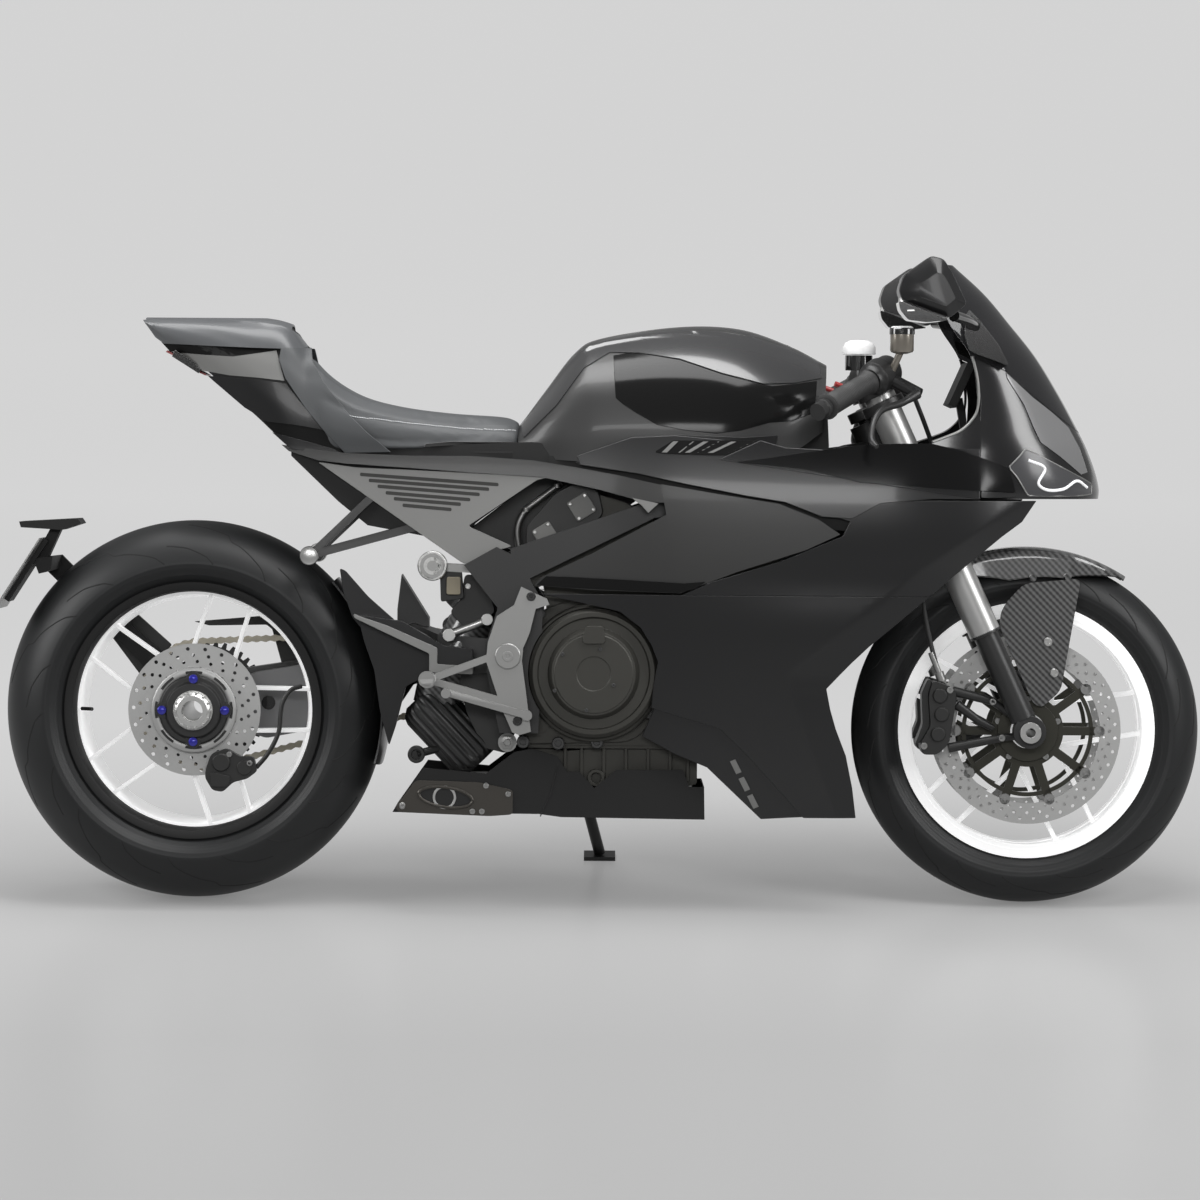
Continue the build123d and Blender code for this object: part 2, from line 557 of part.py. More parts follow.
def nose_solid(shrink):
    rows = [hood_row(z, x0 - 1 if shrink else x0, x1 - shrink, w - shrink, 0.0) for z, x0, x1, w in NOSE]
    return skin(rows)


def nose_cowl():
    cowl = hood(NOSE, PANEL_T)
    lamps = prism(LAMP, -220, -LAMP_IN)
    return cowl - lamps - left_of(lamps)


def headlamp():
    """Right lamp unit: a thick lens piece flush with the cowl."""
    inner = [(1392, 755), (1424, 782), (1434, 780), (1528, 736), (1537, 713), (1492, 710), (1425, 706)]
    lamp = nose_solid(0.0) & prism(inner, -220, -LAMP_IN - FIT_GAP)
    return lamp - nose_solid(LAMP_DEEP)


STAY_END = (1380, 0, 800)            # where the stay meets the cross bar inside the cowl


def dashboard():
    """Instrument panel on a stay from the head tube, which also carries the cowl."""
    arm = block((1215, 0, 768), STAY_END, 30, 16)
    post = block((1330, 0, 790), (1316, 0, 872), 24, 12)
    panel_box = block((1300, 0, 858), (1332, 0, 930), 150, 14)
    bar = across_disc(STAY_END[0], STAY_END[2], 9, -185, 185) & nose_solid(PANEL_T + FIT_GAP)
    whole = fused(arm, post, panel_box, bar)
    return whole - rod(up_stem(HEAD_LOW), up_stem(HEAD_HIGH), HEAD_R + FIT_GAP)


MIRROR_OUT, MIRROR_IN = 335.0, 242.0
MIRROR = [(1196, 1010), (1204, 1068), (1246, 1106), (1268, 1098), (1306, 1022), (1278, 997), (1233, 996)]


def mirror():
    knee = (1335, -150, 948)
    head = prism(MIRROR, -MIRROR_OUT, -MIRROR_IN)
    stalk = block((1290, -MIRROR_IN - 1, 1010), knee, 12, 22)
    foot = block(knee, (1362, -140, 908), 12, 20)
    return fused(head, stalk, foot) - hood(SCREEN, 0.0) - hood(NOSE, 0.0)


SEAT_FLOOR = 775.0


def seam_x(z):
    """Seam between the tail and the seat, leaning back a little."""
    return 196.7 - (z - 790) * 0.042


def band_top(x):
    return between([(x1, z1) for x1, z1, x0, z0 in BAND], x)


# x, z of the low and high ends of each section, then half widths from low to high
TANK = [(555 + FIT_GAP, 772, 555 + FIT_GAP, 818, 88, 96, 80, 44), (602, 764, 602, 881, 124, 126, 104, 46),
        (656, 760, 653, 947, 144, 142, 118, 52), (720, 760, 700, 972, 152, 152, 124, 56),
        (830, 760, 830, 992, 158, 156, 128, 60), (935, 760, 935, 989, 150, 148, 122, 58),
        (1021, 776, 1021, 961, 118, 122, 98, 50), (1078, 812, 1086, 928, 74, 82, 70, 38)]
SEAT = [(seam_x(806) + FIT_GAP, 806, seam_x(948) + FIT_GAP, 948, 104, 108, 100, 66),
        (236, SEAT_FLOOR, 226, 904, 112, 122, 114, 88), (283, SEAT_FLOOR, 283, 868, 120, 128, 122, 92),
        (352, SEAT_FLOOR, 352, 849, 124, 130, 122, 92), (438, SEAT_FLOOR, 438, 838, 118, 122, 112, 80),
        (524, SEAT_FLOOR, 524, 833, 98, 100, 90, 60), (555, SEAT_FLOOR, 555, 829, 86, 88, 76, 48)]
TAIL = [(-86, 990, -91, 1001, 58, 62, 54, 34), (-38, 946, -27, 1003, 70, 78, 72, 46),
        (22, 907, 40, 1003, 84, 92, 86, 56), (108, 830, 100, 1002, 104, 110, 100, 64),
        (160, band_top(160) + FIT_GAP, 156, 997, 115, 118, 106, 68),
        (seam_x(781), band_top(seam_x(781)) + FIT_GAP, seam_x(956), 956, 115, 116, 104, 68)]


def shelled(table, wall):
    """Body open below: the loft less the same loft moved in by the wall."""
    inner = [(x0, z0 - wall, x1, z1 - wall, *[w - wall for w in halves]) for x0, z0, x1, z1, *halves in table]
    first, last = inner[0], inner[-1]
    inner[0] = (first[0] + wall, first[1], first[2] + wall, *first[3:])
    inner[-1] = (last[0] - wall, last[1], last[2] - wall, *last[3:])
    return body_loft(table) - body_loft(inner)


def seat():
    return body_loft(SEAT)


TAIL_STRIP = [(-33, 946), (14, 917), (8, 906), (-38, 935)]


def tail_light():
    return prism(TAIL_STRIP, -80, 80) - body_loft(TAIL)


# x, low z, high z of the tray under the seat
TRAY = [(168, 766, 774.7), (250, 688, 774.7), (300, 648, 774.7), (400, 630, 774.7), (456, 620, 774.7),
        (480, 650, 774.7), (548, 700, 774.7)]


def tray_half(x):
    return flat_half(x, 0) - SIDE_PLATE_INSET - SIDE_PLATE_T - FIT_GAP


def undertail():
    """Inner tray below the seat that the band and the side plates are fixed to, open above."""
    outer = body_loft([(x, z0, x, z1, tray_half(x), tray_half(x)) for x, z0, z1 in TRAY])
    inner = [(x, low + PANEL_T, x, high + 10, tray_half(x) - PANEL_T, tray_half(x) - PANEL_T)
             for x, low, high in TRAY]
    first, last = inner[0], inner[-1]
    inner[0] = (first[0] + PANEL_T, first[1], first[2] + PANEL_T, *first[3:])
    inner[-1] = (last[0] - PANEL_T, last[1], last[2] - PANEL_T, *last[3:])
    cross = across_disc(*CROSS_TUBE, CROSS_R + FIT_GAP, -PLATE_IN, PLATE_IN)
    return outer - body_loft(inner) - cross - right_beam() - left_of(right_beam())


HANGER = [(564, 546), (608, 526), (612, 516), (589, 509), (579, 468), (568, 442), (566, 420), (582, 300),
          (562, 294), (550, 299), (531, 342), (505, 420), (508, 452), (523, 496), (552, 515)]
HANGER_OUT, HANGER_IN = 176.0, 164.0
HANGER_BOSSES = [(580, 518), (566, 318)]
PEG, PEG_LONG, PEG_R = (407.0, 387.0), 78.0, 11.0
PEG_ARMS = [(522, 430), (540, 350)]         # where the two arms to the peg leave the plate
LEVER_PIVOT, LEVER_TOE = (575.0, 328.0), (438.0, 366.0)


def hanger():
    """Foot rest plate with its two arms to the peg."""
    plate = prism(HANGER, -HANGER_OUT, -HANGER_IN)
    y = -(HANGER_OUT + HANGER_IN) / 2
    arms = [block((x, y, z), (PEG[0], y, PEG[1]), 12, 12) for x, z in PEG_ARMS]
    knuckle = across_disc(*PEG, 14, y - 8, y + 8)
    bosses = [across_disc(x, z, 12, -HANGER_IN - 1, -PLATE_OUT - FIT_GAP) for x, z in HANGER_BOSSES]
    cap = across_disc(*PIVOT, 20, -HANGER_OUT - 6, -HANGER_OUT + 1)
    return fused(plate, *arms, knuckle, *bosses, cap, footpeg())


def footpeg():
    y = -(HANGER_OUT + HANGER_IN) / 2 - 6
    tip = (PEG[0], y - PEG_LONG, PEG[1] + 4)
    bar = rod((PEG[0], y, PEG[1]), tip, PEG_R)
    return fused(bar, rod((PEG[0], y - PEG_LONG + 12, PEG[1] + 4), tip, PEG_R + 3))


def foot_lever():
    """Brake or gear lever pivoting beside the plate's lower bolt."""
    y = -HANGER_OUT - FIT_GAP
    hub = across_disc(*LEVER_PIVOT, 9, y - 10, y)
    arm = block((LEVER_PIVOT[0], y - 6, LEVER_PIVOT[1]), (LEVER_TOE[0] - 6, y - 6, LEVER_TOE[1] + 2), 8, 12)
    toe = across_disc(*LEVER_TOE, 8, y - 44, y - 10)
    return fused(hub, arm, toe)


PILLION_KNOB = (202.0, 596.0)


def pillion_hanger():
    """Two bars from behind the side plate down to the hook of the passenger's rest."""
    (x, z), y = PILLION_KNOB, -112
    rows = [[(x, y - 6, z - h), (x, y1, z - h), (x, y1, z + h), (x, y - 6, z + h)] for x, z, h, y1 in (
        (x, z, 9, y + 6), (300, 690, 9, y + 6), (318, 706, 9, y + 4))]
    strut = block((x, y, z), (398, y, 650), 12, 14)
    whole = fused(skin(rows), strut, across_disc(*PILLION_KNOB, 13, y - 26, y + 8))
    outer = body_loft([(x, z0, x, z1, tray_half(x), tray_half(x)) for x, z0, z1 in TRAY])
    return whole - outer - side_plate()


# outlines of the plate's holder, x measured from the rear axle
PLATE_ARM = [(-60, 350), (-38, 392), (-118, 462), (-246, 590), (-280, 586), (-270, 560), (-130, 425)]
PLATE_BEAM = [(-280, 586), (-246, 590), (-250, 566), (-270, 560)]
PLATE_LAMP = [(-303, 650), (-202, 656), (-196, 647), (-229, 636), (-300, 640)]
PLATE_STALK = [(-264, 570), (-232, 640), (-250, 642), (-278, 590)]


def behind(outline, y0, y1):
    """Prism of an outline whose x is measured from the rear axle."""
    return prism([(REAR_AXLE_X + x, z) for x, z in outline], y0, y1)


def plate_holder():
    """Arm from the hub behind the wheel to the plate bracket and its lamp bar."""
    y0, y1 = ARM_HUB_Y1 - 14, ARM_HUB_Y1
    hub = across_disc(REAR_AXLE_X, REAR_AXLE_Z, ARM_HUB_R + 10, y0, y1, ARM_HUB_R + FIT_GAP)
    back = plate_normal() * -(PLATE_T / 2 + FIT_GAP + 4)
    run = (PLATE_HIGH - PLATE_LOW).normalized()
    rest = block(PLATE_LOW + back + run * 20, PLATE_HIGH + back, 80, 8)
    arm = behind(PLATE_ARM, y0, y1) - across_disc(REAR_AXLE_X, REAR_AXLE_Z, ARM_HUB_R + 5, y0 - 1, y1 + 1)
    plate_side = block(PLATE_LOW, PLATE_HIGH, PLATE_WIDE + 60, PLATE_T + 2 * FIT_GAP)
    whole = fused(hub, arm, behind(PLATE_BEAM, -34, y1), behind(PLATE_LAMP, -45, 45),
                  behind(PLATE_STALK, -16, 16), rest)
    return whole - plate_side - Compound(bolt_holes()) - swingarm()


PLATE_T, PLATE_BOLT_R, PLATE_BOLT_PCD = 2.5, 3.25, 60.0
PLATE_LOW, PLATE_HIGH = Vector(REAR_AXLE_X - 340, 0, 500), Vector(REAR_AXLE_X - 262, 0, 622)
PLATE_WIDE = 190.0


def plate_normal():
    """Unit vector square to the plate, rearwards and up."""
    run = (PLATE_HIGH - PLATE_LOW).normalized()
    return Vector(-run.Z, 0, run.X)


def plate_bolts():
    mid = (PLATE_LOW + PLATE_HIGH) * 0.5
    run, r = (PLATE_HIGH - PLATE_LOW).normalized(), PLATE_BOLT_PCD / 2
    angles = [pi / 4 + pi / 2 * i for i in range(4)]
    return [mid + run * (r * cos(a)) + Vector(0, r * sin(a), 0) for a in angles]


def bolt_holes():
    reach = plate_normal() * 30
    return [rod(p - reach, p + reach, PLATE_BOLT_R) for p in plate_bolts()]


def number_plate():
    return block(PLATE_LOW, PLATE_HIGH, PLATE_WIDE, PLATE_T) - Compound(bolt_holes())


def radiator():
    core = block((1045, 0, 340), (1086, 0, 560), 250, 34)
    front = max(x for x, z in ENGINE)
    stays = [block((1066, y, 500), (front + FIT_GAP, y, 500), 14, 14) for y in (-70, 70)]
    return fused(core, *stays)


REAR_CALIPER = [(34, 205), (88, 222), (96, 252), (78, 268), (52, 262), (34, 240)]     # x from the rear axle


def rear_caliper():
    """Caliper over the lower front of the rear disc, on a bracket from the arm's hub."""
    y = REAR_DISC_Y
    body = behind(REAR_CALIPER, y - 24, y + 24)
    slot = across_disc(REAR_AXLE_X, REAR_AXLE_Z, REAR_DISC_R + 6, y - 8, y + 8)
    outer = behind([(44, 212), (96, 240), (84, 272), (60, 266)], y + 10, y + 24)
    lug = behind([(50, 258), (84, 262), (76, 292), (40, 284)], y + 12, y + 21.6)
    hub_room = across_disc(REAR_AXLE_X, REAR_AXLE_Z, ARM_HUB_R + FIT_GAP, ARM_HUB_Y0 - 10, ARM_HUB_Y1 + 8)
    return fused(fused(body, outer) - slot, lug) - hub_room - swingarm()


# ---------------------------------------------------------------- side stand
STAND_PIVOT = Vector(640, 150, 290)
STAND_SPREAD, STAND_FOOT_X = 290.0, 700.0     # foot's distance to the left of the tyres' feet, on the floor
STAND_FOLDED = Vector(-0.97, 0.18, -0.22)
STAND_PIN_R, STAND_EYE_R, STAND_EYE_HALF = 8.0, 17.0, 11.0


def stand_foot():
    """Where the leg meets the floor, in the bike frame."""
    return Vector(STAND_FOOT_X, STAND_SPREAD * cos(radians(LEAN)), STAND_SPREAD * sin(radians(LEAN)))


def stand_axis():
    return (stand_foot() - STAND_PIVOT).cross(STAND_FOLDED).normalized()


def side_stand():
    n, foot = stand_axis(), stand_foot()
    floor_up = Vector(0, -sin(radians(LEAN)), cos(radians(LEAN)))
    out = Vector(0, cos(radians(LEAN)), sin(radians(LEAN)))
    leg = rod(STAND_PIVOT, foot + floor_up * 9, 10)
    eye = rod(STAND_PIVOT - n * STAND_EYE_HALF, STAND_PIVOT + n * STAND_EYE_HALF, STAND_EYE_R)
    pad = block(foot + floor_up * 3.5 - out * 24, foot + floor_up * 3.5 + out * 24, 56, 7, across=(1, 0, 0))
    floor = foot - floor_up * 10
    leg = leg - block(floor - out * 60, floor + out * 60, 200, 20, across=(1, 0, 0))
    return fused(leg, eye, pad) - rod(STAND_PIVOT - n * 30, STAND_PIVOT + n * 30, STAND_PIN_R + RUNNING_GAP)


def stand_bracket():
    n = stand_axis()
    inner = STAND_PIVOT - n * (STAND_EYE_HALF + RUNNING_GAP)
    boss = rod(inner - n * 12, inner, STAND_EYE_R)
    pin = rod(inner - n * 6, STAND_PIVOT + n * (STAND_EYE_HALF + 4), STAND_PIN_R)
    arm = block(inner - n * 8, (inner.X, ENGINE_HALF - 4, inner.Z + 4), 30, 20, across=(1, 0, 0))
    room = rod(inner, inner + n * 40, STAND_EYE_R + 8)
    return fused(fused(boss, arm) - room, pin)


# ---------------------------------------------------------------- steering
def yoke(low, high, depth):
    """Plate joining the two fork tubes and the stem."""
    mid = (low + high) / 2
    a, b = up_fork(mid, -FORK_HALF), up_fork(mid, FORK_HALF)
    stem = up_stem(mid)
    thick = high - low
    bar = block(a, b, thick, depth, across=tuple(STEER_UP))
    nose = block((a + b) * 0.5, stem, thick, 90, across=tuple(STEER_UP))
    bosses = [rod(up_fork(low, s * FORK_HALF), up_fork(high, s * FORK_HALF), FORK_OUTER_R + 10)
              for s in (-1, 1)]
    centre = rod(up_stem(low), up_stem(high), STEM_R + 12)
    tubes = [rod(up_fork(low - 5, s * FORK_HALF), up_fork(high + 5, s * FORK_HALF), FORK_OUTER_R + FIT_GAP)
             for s in (-1, 1)]
    return fused(bar, nose, *bosses, centre) - Compound(tubes)


def stem_bore():
    """The stem and both yokes are hollow right through, for the pin of a front stand."""
    return rod(up_stem(LOWER_YOKE[0] - 1), up_stem(UPPER_YOKE[1] + 1), STEM_BORE_R)


def lower_yoke():
    stem = rod(up_stem(LOWER_YOKE[0]), up_stem(UPPER_YOKE[0] - FIT_GAP), STEM_R)
    return fused(yoke(*LOWER_YOKE, 50.0), stem) - stem_bore()


def upper_yoke():
    return yoke(*UPPER_YOKE, 46.0) - stem_bore()


def fork_sleeve():
    tube = rod(up_fork(FORK_SLEEVE_FOOT, -FORK_HALF), up_fork(FORK_TOP, -FORK_HALF), FORK_OUTER_R)
    tube = tube - rod(up_fork(0, -FORK_HALF), up_fork(FORK_LEG_TOP, -FORK_HALF), FORK_INNER_R + FIT_GAP)
    return tube


AXLE_FOOT_R = 27.0          # foot of the leg around the axle


def fork_leg():
    """Sliding leg with its axle foot and caliper lug."""
    y = -FORK_HALF
    leg = rod(up_fork(10, y), up_fork(FORK_LEG_TOP - 6, y), FORK_INNER_R)
    foot = rod(up_fork(-26, y), up_fork(58, y), AXLE_FOOT_R)
    lug = block((1418, y, 316), (1312, y, 342), 14, 60)
    return fused(leg, foot, lug) - across_disc(FRONT_AXLE_X, FRONT_AXLE_Z, AXLE_R + FIT_GAP, -150, -60)


def front_axle():
    bar = across_disc(FRONT_AXLE_X, FRONT_AXLE_Z, AXLE_R, -AXLE_HALF, AXLE_HALF)
    heads = [across_disc(FRONT_AXLE_X, FRONT_AXLE_Z, 18, s * AXLE_HALF, s * (AXLE_HALF + 10))
             for s in (-1, 1)]
    inside = FORK_HALF - AXLE_FOOT_R - FIT_GAP
    collars = [across_disc(FRONT_AXLE_X, FRONT_AXLE_Z, 18, s * 74.5, s * inside) for s in (-1, 1)]
    whole = fused(bar, *heads, *collars)
    return whole - across_disc(FRONT_AXLE_X, FRONT_AXLE_Z, AXLE_BORE_R, -200, 200)


FRONT_CALIPER = [(1246, 262), (1284, 258), (1306, 300), (1312, 372), (1294, 410), (1270, 404), (1248, 340)]


def front_caliper():
    y = -FORK_HALF
    body = prism(FRONT_CALIPER, y - 7 + FIT_GAP, y + 60)
    body = body - prism([(1292, 200), (1460, 200), (1460, 460), (1292, 460)], y - 20, y + 7 + FIT_GAP)
    slot = across_disc(FRONT_AXLE_X, FRONT_AXLE_Z, FRONT_DISC_R + 7, -FRONT_DISC_Y - 8, -FRONT_DISC_Y + 8)
    return body - slot - fork_leg()


GRIP_IN, GRIP_OUT = Vector(1171, -180, 909), Vector(1060, -330, 845)
BAR_R, GRIP_R, GRIP_END, PERCH_R = 11.0, 16.5, 186.0, 18.0


def along_bar(t):
    """Point on the right bar, t outwards from the grip's inner end."""
    return GRIP_IN + (GRIP_OUT - GRIP_IN).normalized() * t


def clip_on():
    """Right handlebar: clamp on the fork tube, riser and bar."""
    clamp = rod(up_fork(630, -FORK_HALF), up_fork(660, -FORK_HALF), FORK_OUTER_R + 9)
    riser = block(up_fork(645, -FORK_HALF - 24), along_bar(-36), 24, 26)
    bar = rod(along_bar(-48), along_bar(GRIP_END + 6), BAR_R)
    weight = rod(along_bar(GRIP_END + 1), along_bar(GRIP_END + 14), 15)
    perch = rod(along_bar(-34), along_bar(-8), PERCH_R)
    whole = fused(clamp, riser, bar, weight, perch)
    return whole - rod(up_fork(600, -FORK_HALF), up_fork(700, -FORK_HALF), FORK_OUTER_R + FIT_GAP)


def grip():
    return rod(along_bar(0), along_bar(GRIP_END), GRIP_R, BAR_R + FIT_GAP)


def hand_lever():
    """Lever ahead of the grip, hinged at the perch."""
    run = (GRIP_OUT - GRIP_IN).normalized()
    ahead = Vector(0, 0, 1).cross(run).normalized() * -1
    ahead = ahead if ahead.X > 0 else ahead * -1
    root, tip = along_bar(-20) + ahead * 26, along_bar(150) + ahead * 52
    knee = along_bar(30) + ahead * 50
    return fused(block(along_bar(-21) + ahead * (PERCH_R + FIT_GAP), root, 22, 14), block(root, knee, 9, 16),
                 block(knee, tip, 8, 13), rod(tip - run * 4, tip + run * 6, 8)) - clip_on()


POT_FOOT, POT_TALL, POT_R = Vector(1203, -212, 944), 43.0, 20.0


def brake_reservoir():
    """Fluid pot on a small arm over the right perch."""
    pot = rod(POT_FOOT, POT_FOOT + Vector(0, 0, POT_TALL), POT_R)
    arm = block(along_bar(-20) + Vector(8, 0, 14), POT_FOOT + Vector(0, 4, 4), 12, 12)
    return fused(pot, arm) - rod(along_bar(-40), along_bar(0), PERCH_R + FIT_GAP)


FENDER_GAP = 16.0           # from the tyre to the outside of the fender
FENDER_R = FRONT_TYRE_R + FENDER_GAP
FENDER_FROM, FENDER_TO = 58.0, 112.0   # front and rear angle above the axle
FENDER_SHELF_Z = FRONT_AXLE_Z + FENDER_R - 55.0
# distance from the middle, drop below the crown
FENDER_SECTION = [(0, 0), (34, 6), (58, 24), (70, 50), (72, 62)]


FENDER_T, FENDER_BLADE_Y = 3.0, 90.0


def front_fender():
    outer = [(y, FENDER_R - d) for y, d in FENDER_SECTION]
    inner = [(max(y - FENDER_T, 0), r - FENDER_T - 0.5) for y, r in outer]
    loop = [(-y, r) for y, r in reversed(outer)] + outer[1:]
    loop += list(reversed(inner)) + [(-y, r) for y, r in inner[1:]]
    wire = Wire.make_polygon([Vector(r, y, 0) for y, r in loop], close=True)
    axle = Axis((0, 0, 0), (0, -1, 0))
    arch = Solid.revolve(Face(wire), FENDER_TO - FENDER_FROM, axle)
    arch = arch.rotate(axle, FENDER_FROM).moved(Location((FRONT_AXLE_X, 0, FRONT_AXLE_Z)))
    z, y = FENDER_SHELF_Z, -FENDER_BLADE_Y
    blade = prism([(1424, z - 10), (1514, z), (1482, 364), (1444, 341), (1404, 440)], y - 2, y + 2)
    shelf = prism([(1430, z - 14), (1508, z - 10), (1508, z), (1424, z - 6)], y - 2, y + 24)
    leg_cut = rod(up_fork(0, -FORK_HALF), up_fork(FORK_SLEEVE_FOOT, -FORK_HALF), FORK_INNER_R + FIT_GAP)
    side = fused(blade, shelf, rod((1412, y, 440), (1370, y, 440), 8)) - leg_cut
    inside = FENDER_SECTION[-1][0] - FENDER_T - 0.5
    hollow = ring_y([(-inside, 200), (-inside, FENDER_R - 60), (inside, FENDER_R - 60), (inside, 200)])
    side = side - hollow.moved(Location((FRONT_AXLE_X, 0, FRONT_AXLE_Z)))
    return fused(arch, side, left_of(side))


HOSE_R = 4.0
UNION_TALL, UNION_WIDE, UNION_AHEAD = 22.0, 24.0, 14.0     # block under the lower yoke where the hoses meet
# right side: from the union down to the caliper, and from it up to the hand lever's cylinder
CALIPER_HOSE = [(1276, -8, 680), (1272, -46, 655), (1256, -80, 595), (1250, -94, 525), (1262, -98, 460),
                (1281, -98, 392)]
LEVER_HOSE = [(1277, 0, 680), (1297, -22, 700), (1290, -52, 738), (1270, -80, 780), (1250, -108, 830),
              (1226, -140, 884), (1192, -160, 912)]


def hose(points):
    """Round hose of straight runs joined by arcs as large as the runs allow."""
    path = [Vector(*p) for p in points]
    runs = [b - a for a, b in zip(path, path[1:])]
    turns = [radians(a.get_angle(b)) for a, b in zip(runs, runs[1:])]
    radii = [0.45 * min(a.length, b.length) / tan(t / 2) for a, b, t in zip(runs, runs[1:], turns)]
    section = Face(Wire.make_circle(HOSE_R, Plane(origin=path[0], z_dir=runs[0])))
    return Solid.sweep(section, FilletPolyline(*path, radius=radii))


def brake_hoses():
    """Hoses from the hand lever to a union under the lower yoke and on to both calipers."""
    ahead = Vector(cos(radians(RAKE)), 0, sin(radians(RAKE))) * UNION_AHEAD
    top = up_fork(LOWER_YOKE[0] - FIT_GAP) + ahead
    union = block(top - STEER_UP * UNION_TALL, top, UNION_WIDE, 2 * UNION_AHEAD - 6)
    to_caliper, caliper = hose(CALIPER_HOSE), front_caliper()
    perch = rod(along_bar(-40), along_bar(0), PERCH_R + FIT_GAP)
    whole = fused(union, to_caliper, left_of(to_caliper), hose(LEVER_HOSE))
    return whole - perch - caliper - left_of(caliper)


# ---------------------------------------------------------------- wheels in place
def at_rear(shape):
    return shape.moved(Location((REAR_AXLE_X, 0, REAR_AXLE_Z)))


def at_front(shape):
    return shape.moved(Location((FRONT_AXLE_X, 0, FRONT_AXLE_Z)))


REAR_HUB_R, FRONT_HUB_R = 56.0, 42.0
CARRIER_OUT, CARRIER_IN = 124.0, 46.0


def rear_hub():
    """Hollow spindle with its nut, the blue-pinned flange and the sprocket's carrier."""
    tube = across_disc(0, 0, SPINDLE_R, SPINDLE_Y0, SPINDLE_Y1)
    nut = across_disc(0, 0, 31, SPINDLE_Y0 - 18, SPINDLE_Y0 + 1)
    flange = across_disc(0, 0, 76, SPINDLE_Y0 + 8, SPINDLE_Y0 + 16)
    pins = [across_disc(54 * cos(a), 54 * sin(a), 8, SPINDLE_Y0 + 1, SPINDLE_Y0 + 9)
            for a in (pi / 2 * i for i in range(4))]
    carrier = across_disc(0, 0, 62, CHAIN_Y + TOOTH_HALF + FIT_GAP, CHAIN_Y + TOOTH_HALF + 10)
    bridge = across_disc(0, 0, 49, CHAIN_Y - TOOTH_HALF - 4, CHAIN_Y + TOOTH_HALF + 2)
    whole = fused(tube, nut, flange, *pins, carrier, bridge)
    return at_rear(whole - across_disc(0, 0, SPINDLE_BORE_R, -200, 250))


def rear_rim():
    return at_rear(rim(REAR_RIM_HALF, REAR_SPOKE_TURN, REAR_HUB_R, SPINDLE_Y0 + 16 + FIT_GAP, 30,
                       SPINDLE_R + FIT_GAP, -14.0))


def rear_disc():
    ring = disc_ring(REAR_DISC_R, 62, REAR_DISC_T, REAR_DISC_Y)
    collar = disc_ring(64, SPINDLE_R + FIT_GAP, REAR_DISC_T + 5, REAR_DISC_Y - 2.5)
    return at_rear(fused(ring, collar))


def front_disc():
    return at_front(disc_ring(FRONT_DISC_R, CARRIER_OUT + FIT_GAP, FRONT_DISC_T, -FRONT_DISC_Y))


def disc_carrier():
    return at_front(spider(62, CARRIER_IN, CARRIER_OUT, 6.0, -FRONT_DISC_Y, 10, 15.0))


def front_rim():
    whole = rim(FRONT_RIM_HALF, FRONT_SPOKE_TURN, FRONT_HUB_R, -60, 60, AXLE_R + RUNNING_GAP, 0.0)
    spigots = [across_disc(0, 0, CARRIER_IN - FIT_GAP, s * 58, s * (FRONT_DISC_Y + 4), AXLE_R + RUNNING_GAP)
               for s in (-1, 1)]
    return at_front(fused(whole, *spigots))


# ---------------------------------------------------------------- assembly
def pieces():
    pairs = {
        "side_plates": side_plate(), "frame_covers": frame_cover(),
        "shoulder_fairings": panel(SHOULDER, inset=1), "headlamps": headlamp(), "mirrors": mirror(),
        "foot_hangers": hanger(), "foot_levers": foot_lever(), "pillion_hangers": pillion_hanger(),
        "fork_sleeves": fork_sleeve(), "fork_legs": fork_leg(), "front_calipers": front_caliper(),
        "clip_ons": clip_on(), "grips": grip(), "hand_levers": hand_lever(), "front_discs": front_disc(),
        "disc_carriers": disc_carrier(),
    }
    nodes = {name: both(shape) for name, shape in pairs.items()}
    blades = both(panel(BLADE, inset=PANEL_T + 1))
    nodes["side_fairings"] = Compound([*both(side_fairing()).solids(), *blades.solids()])
    nodes["left_covers"] = Compound([*alternator_cover().solids(), *sprocket_cover().solids()])
    nodes |= {
        "main_frame": main_frame(), "engine": engine(), "clutch_cover": clutch_cover(),
        "drive_chain": chain(),
        "swingarm": swingarm(), "shock_absorber": shock_absorber(), "oil_reservoir": oil_reservoir(),
        "ribbed_can": ribbed_can(), "belly_pan": belly_pan(), "exhaust_box": exhaust_box(),
        "nose_cowl": nose_cowl(), "windscreen": hood(SCREEN, SCREEN_T), "dashboard": dashboard(),
        "fuel_tank": shelled(TANK, PANEL_T), "seat": seat(), "tail_unit": shelled(TAIL, PANEL_T),
        "tail_light": tail_light(), "undertail": undertail(), "plate_holder": plate_holder(),
        "number_plate": number_plate(), "radiator": radiator(), "rear_caliper": rear_caliper(),
        "side_stand": side_stand(), "lower_yoke": lower_yoke(), "upper_yoke": upper_yoke(),
        "front_axle": front_axle(), "brake_hoses": brake_hoses(), "brake_reservoir": brake_reservoir(),
        "front_fender": front_fender(),
        "front_tyre": at_front(tyre(FRONT_TYRE_R, FRONT_TYRE_HALF, FRONT_CROWN_R, FRONT_RIM_HALF)),
        "front_rim": front_rim(), "rear_rim": rear_rim(), "rear_hub": rear_hub(), "rear_disc": rear_disc(),
        "rear_tyre": at_rear(tyre(REAR_TYRE_R, REAR_TYRE_HALF, REAR_CROWN_R, REAR_RIM_HALF)),
        "rear_sprocket": at_rear(sprocket()),
    }
    return nodes


def leaned(shape):
    return shape.rotate(Axis.X, -LEAN)


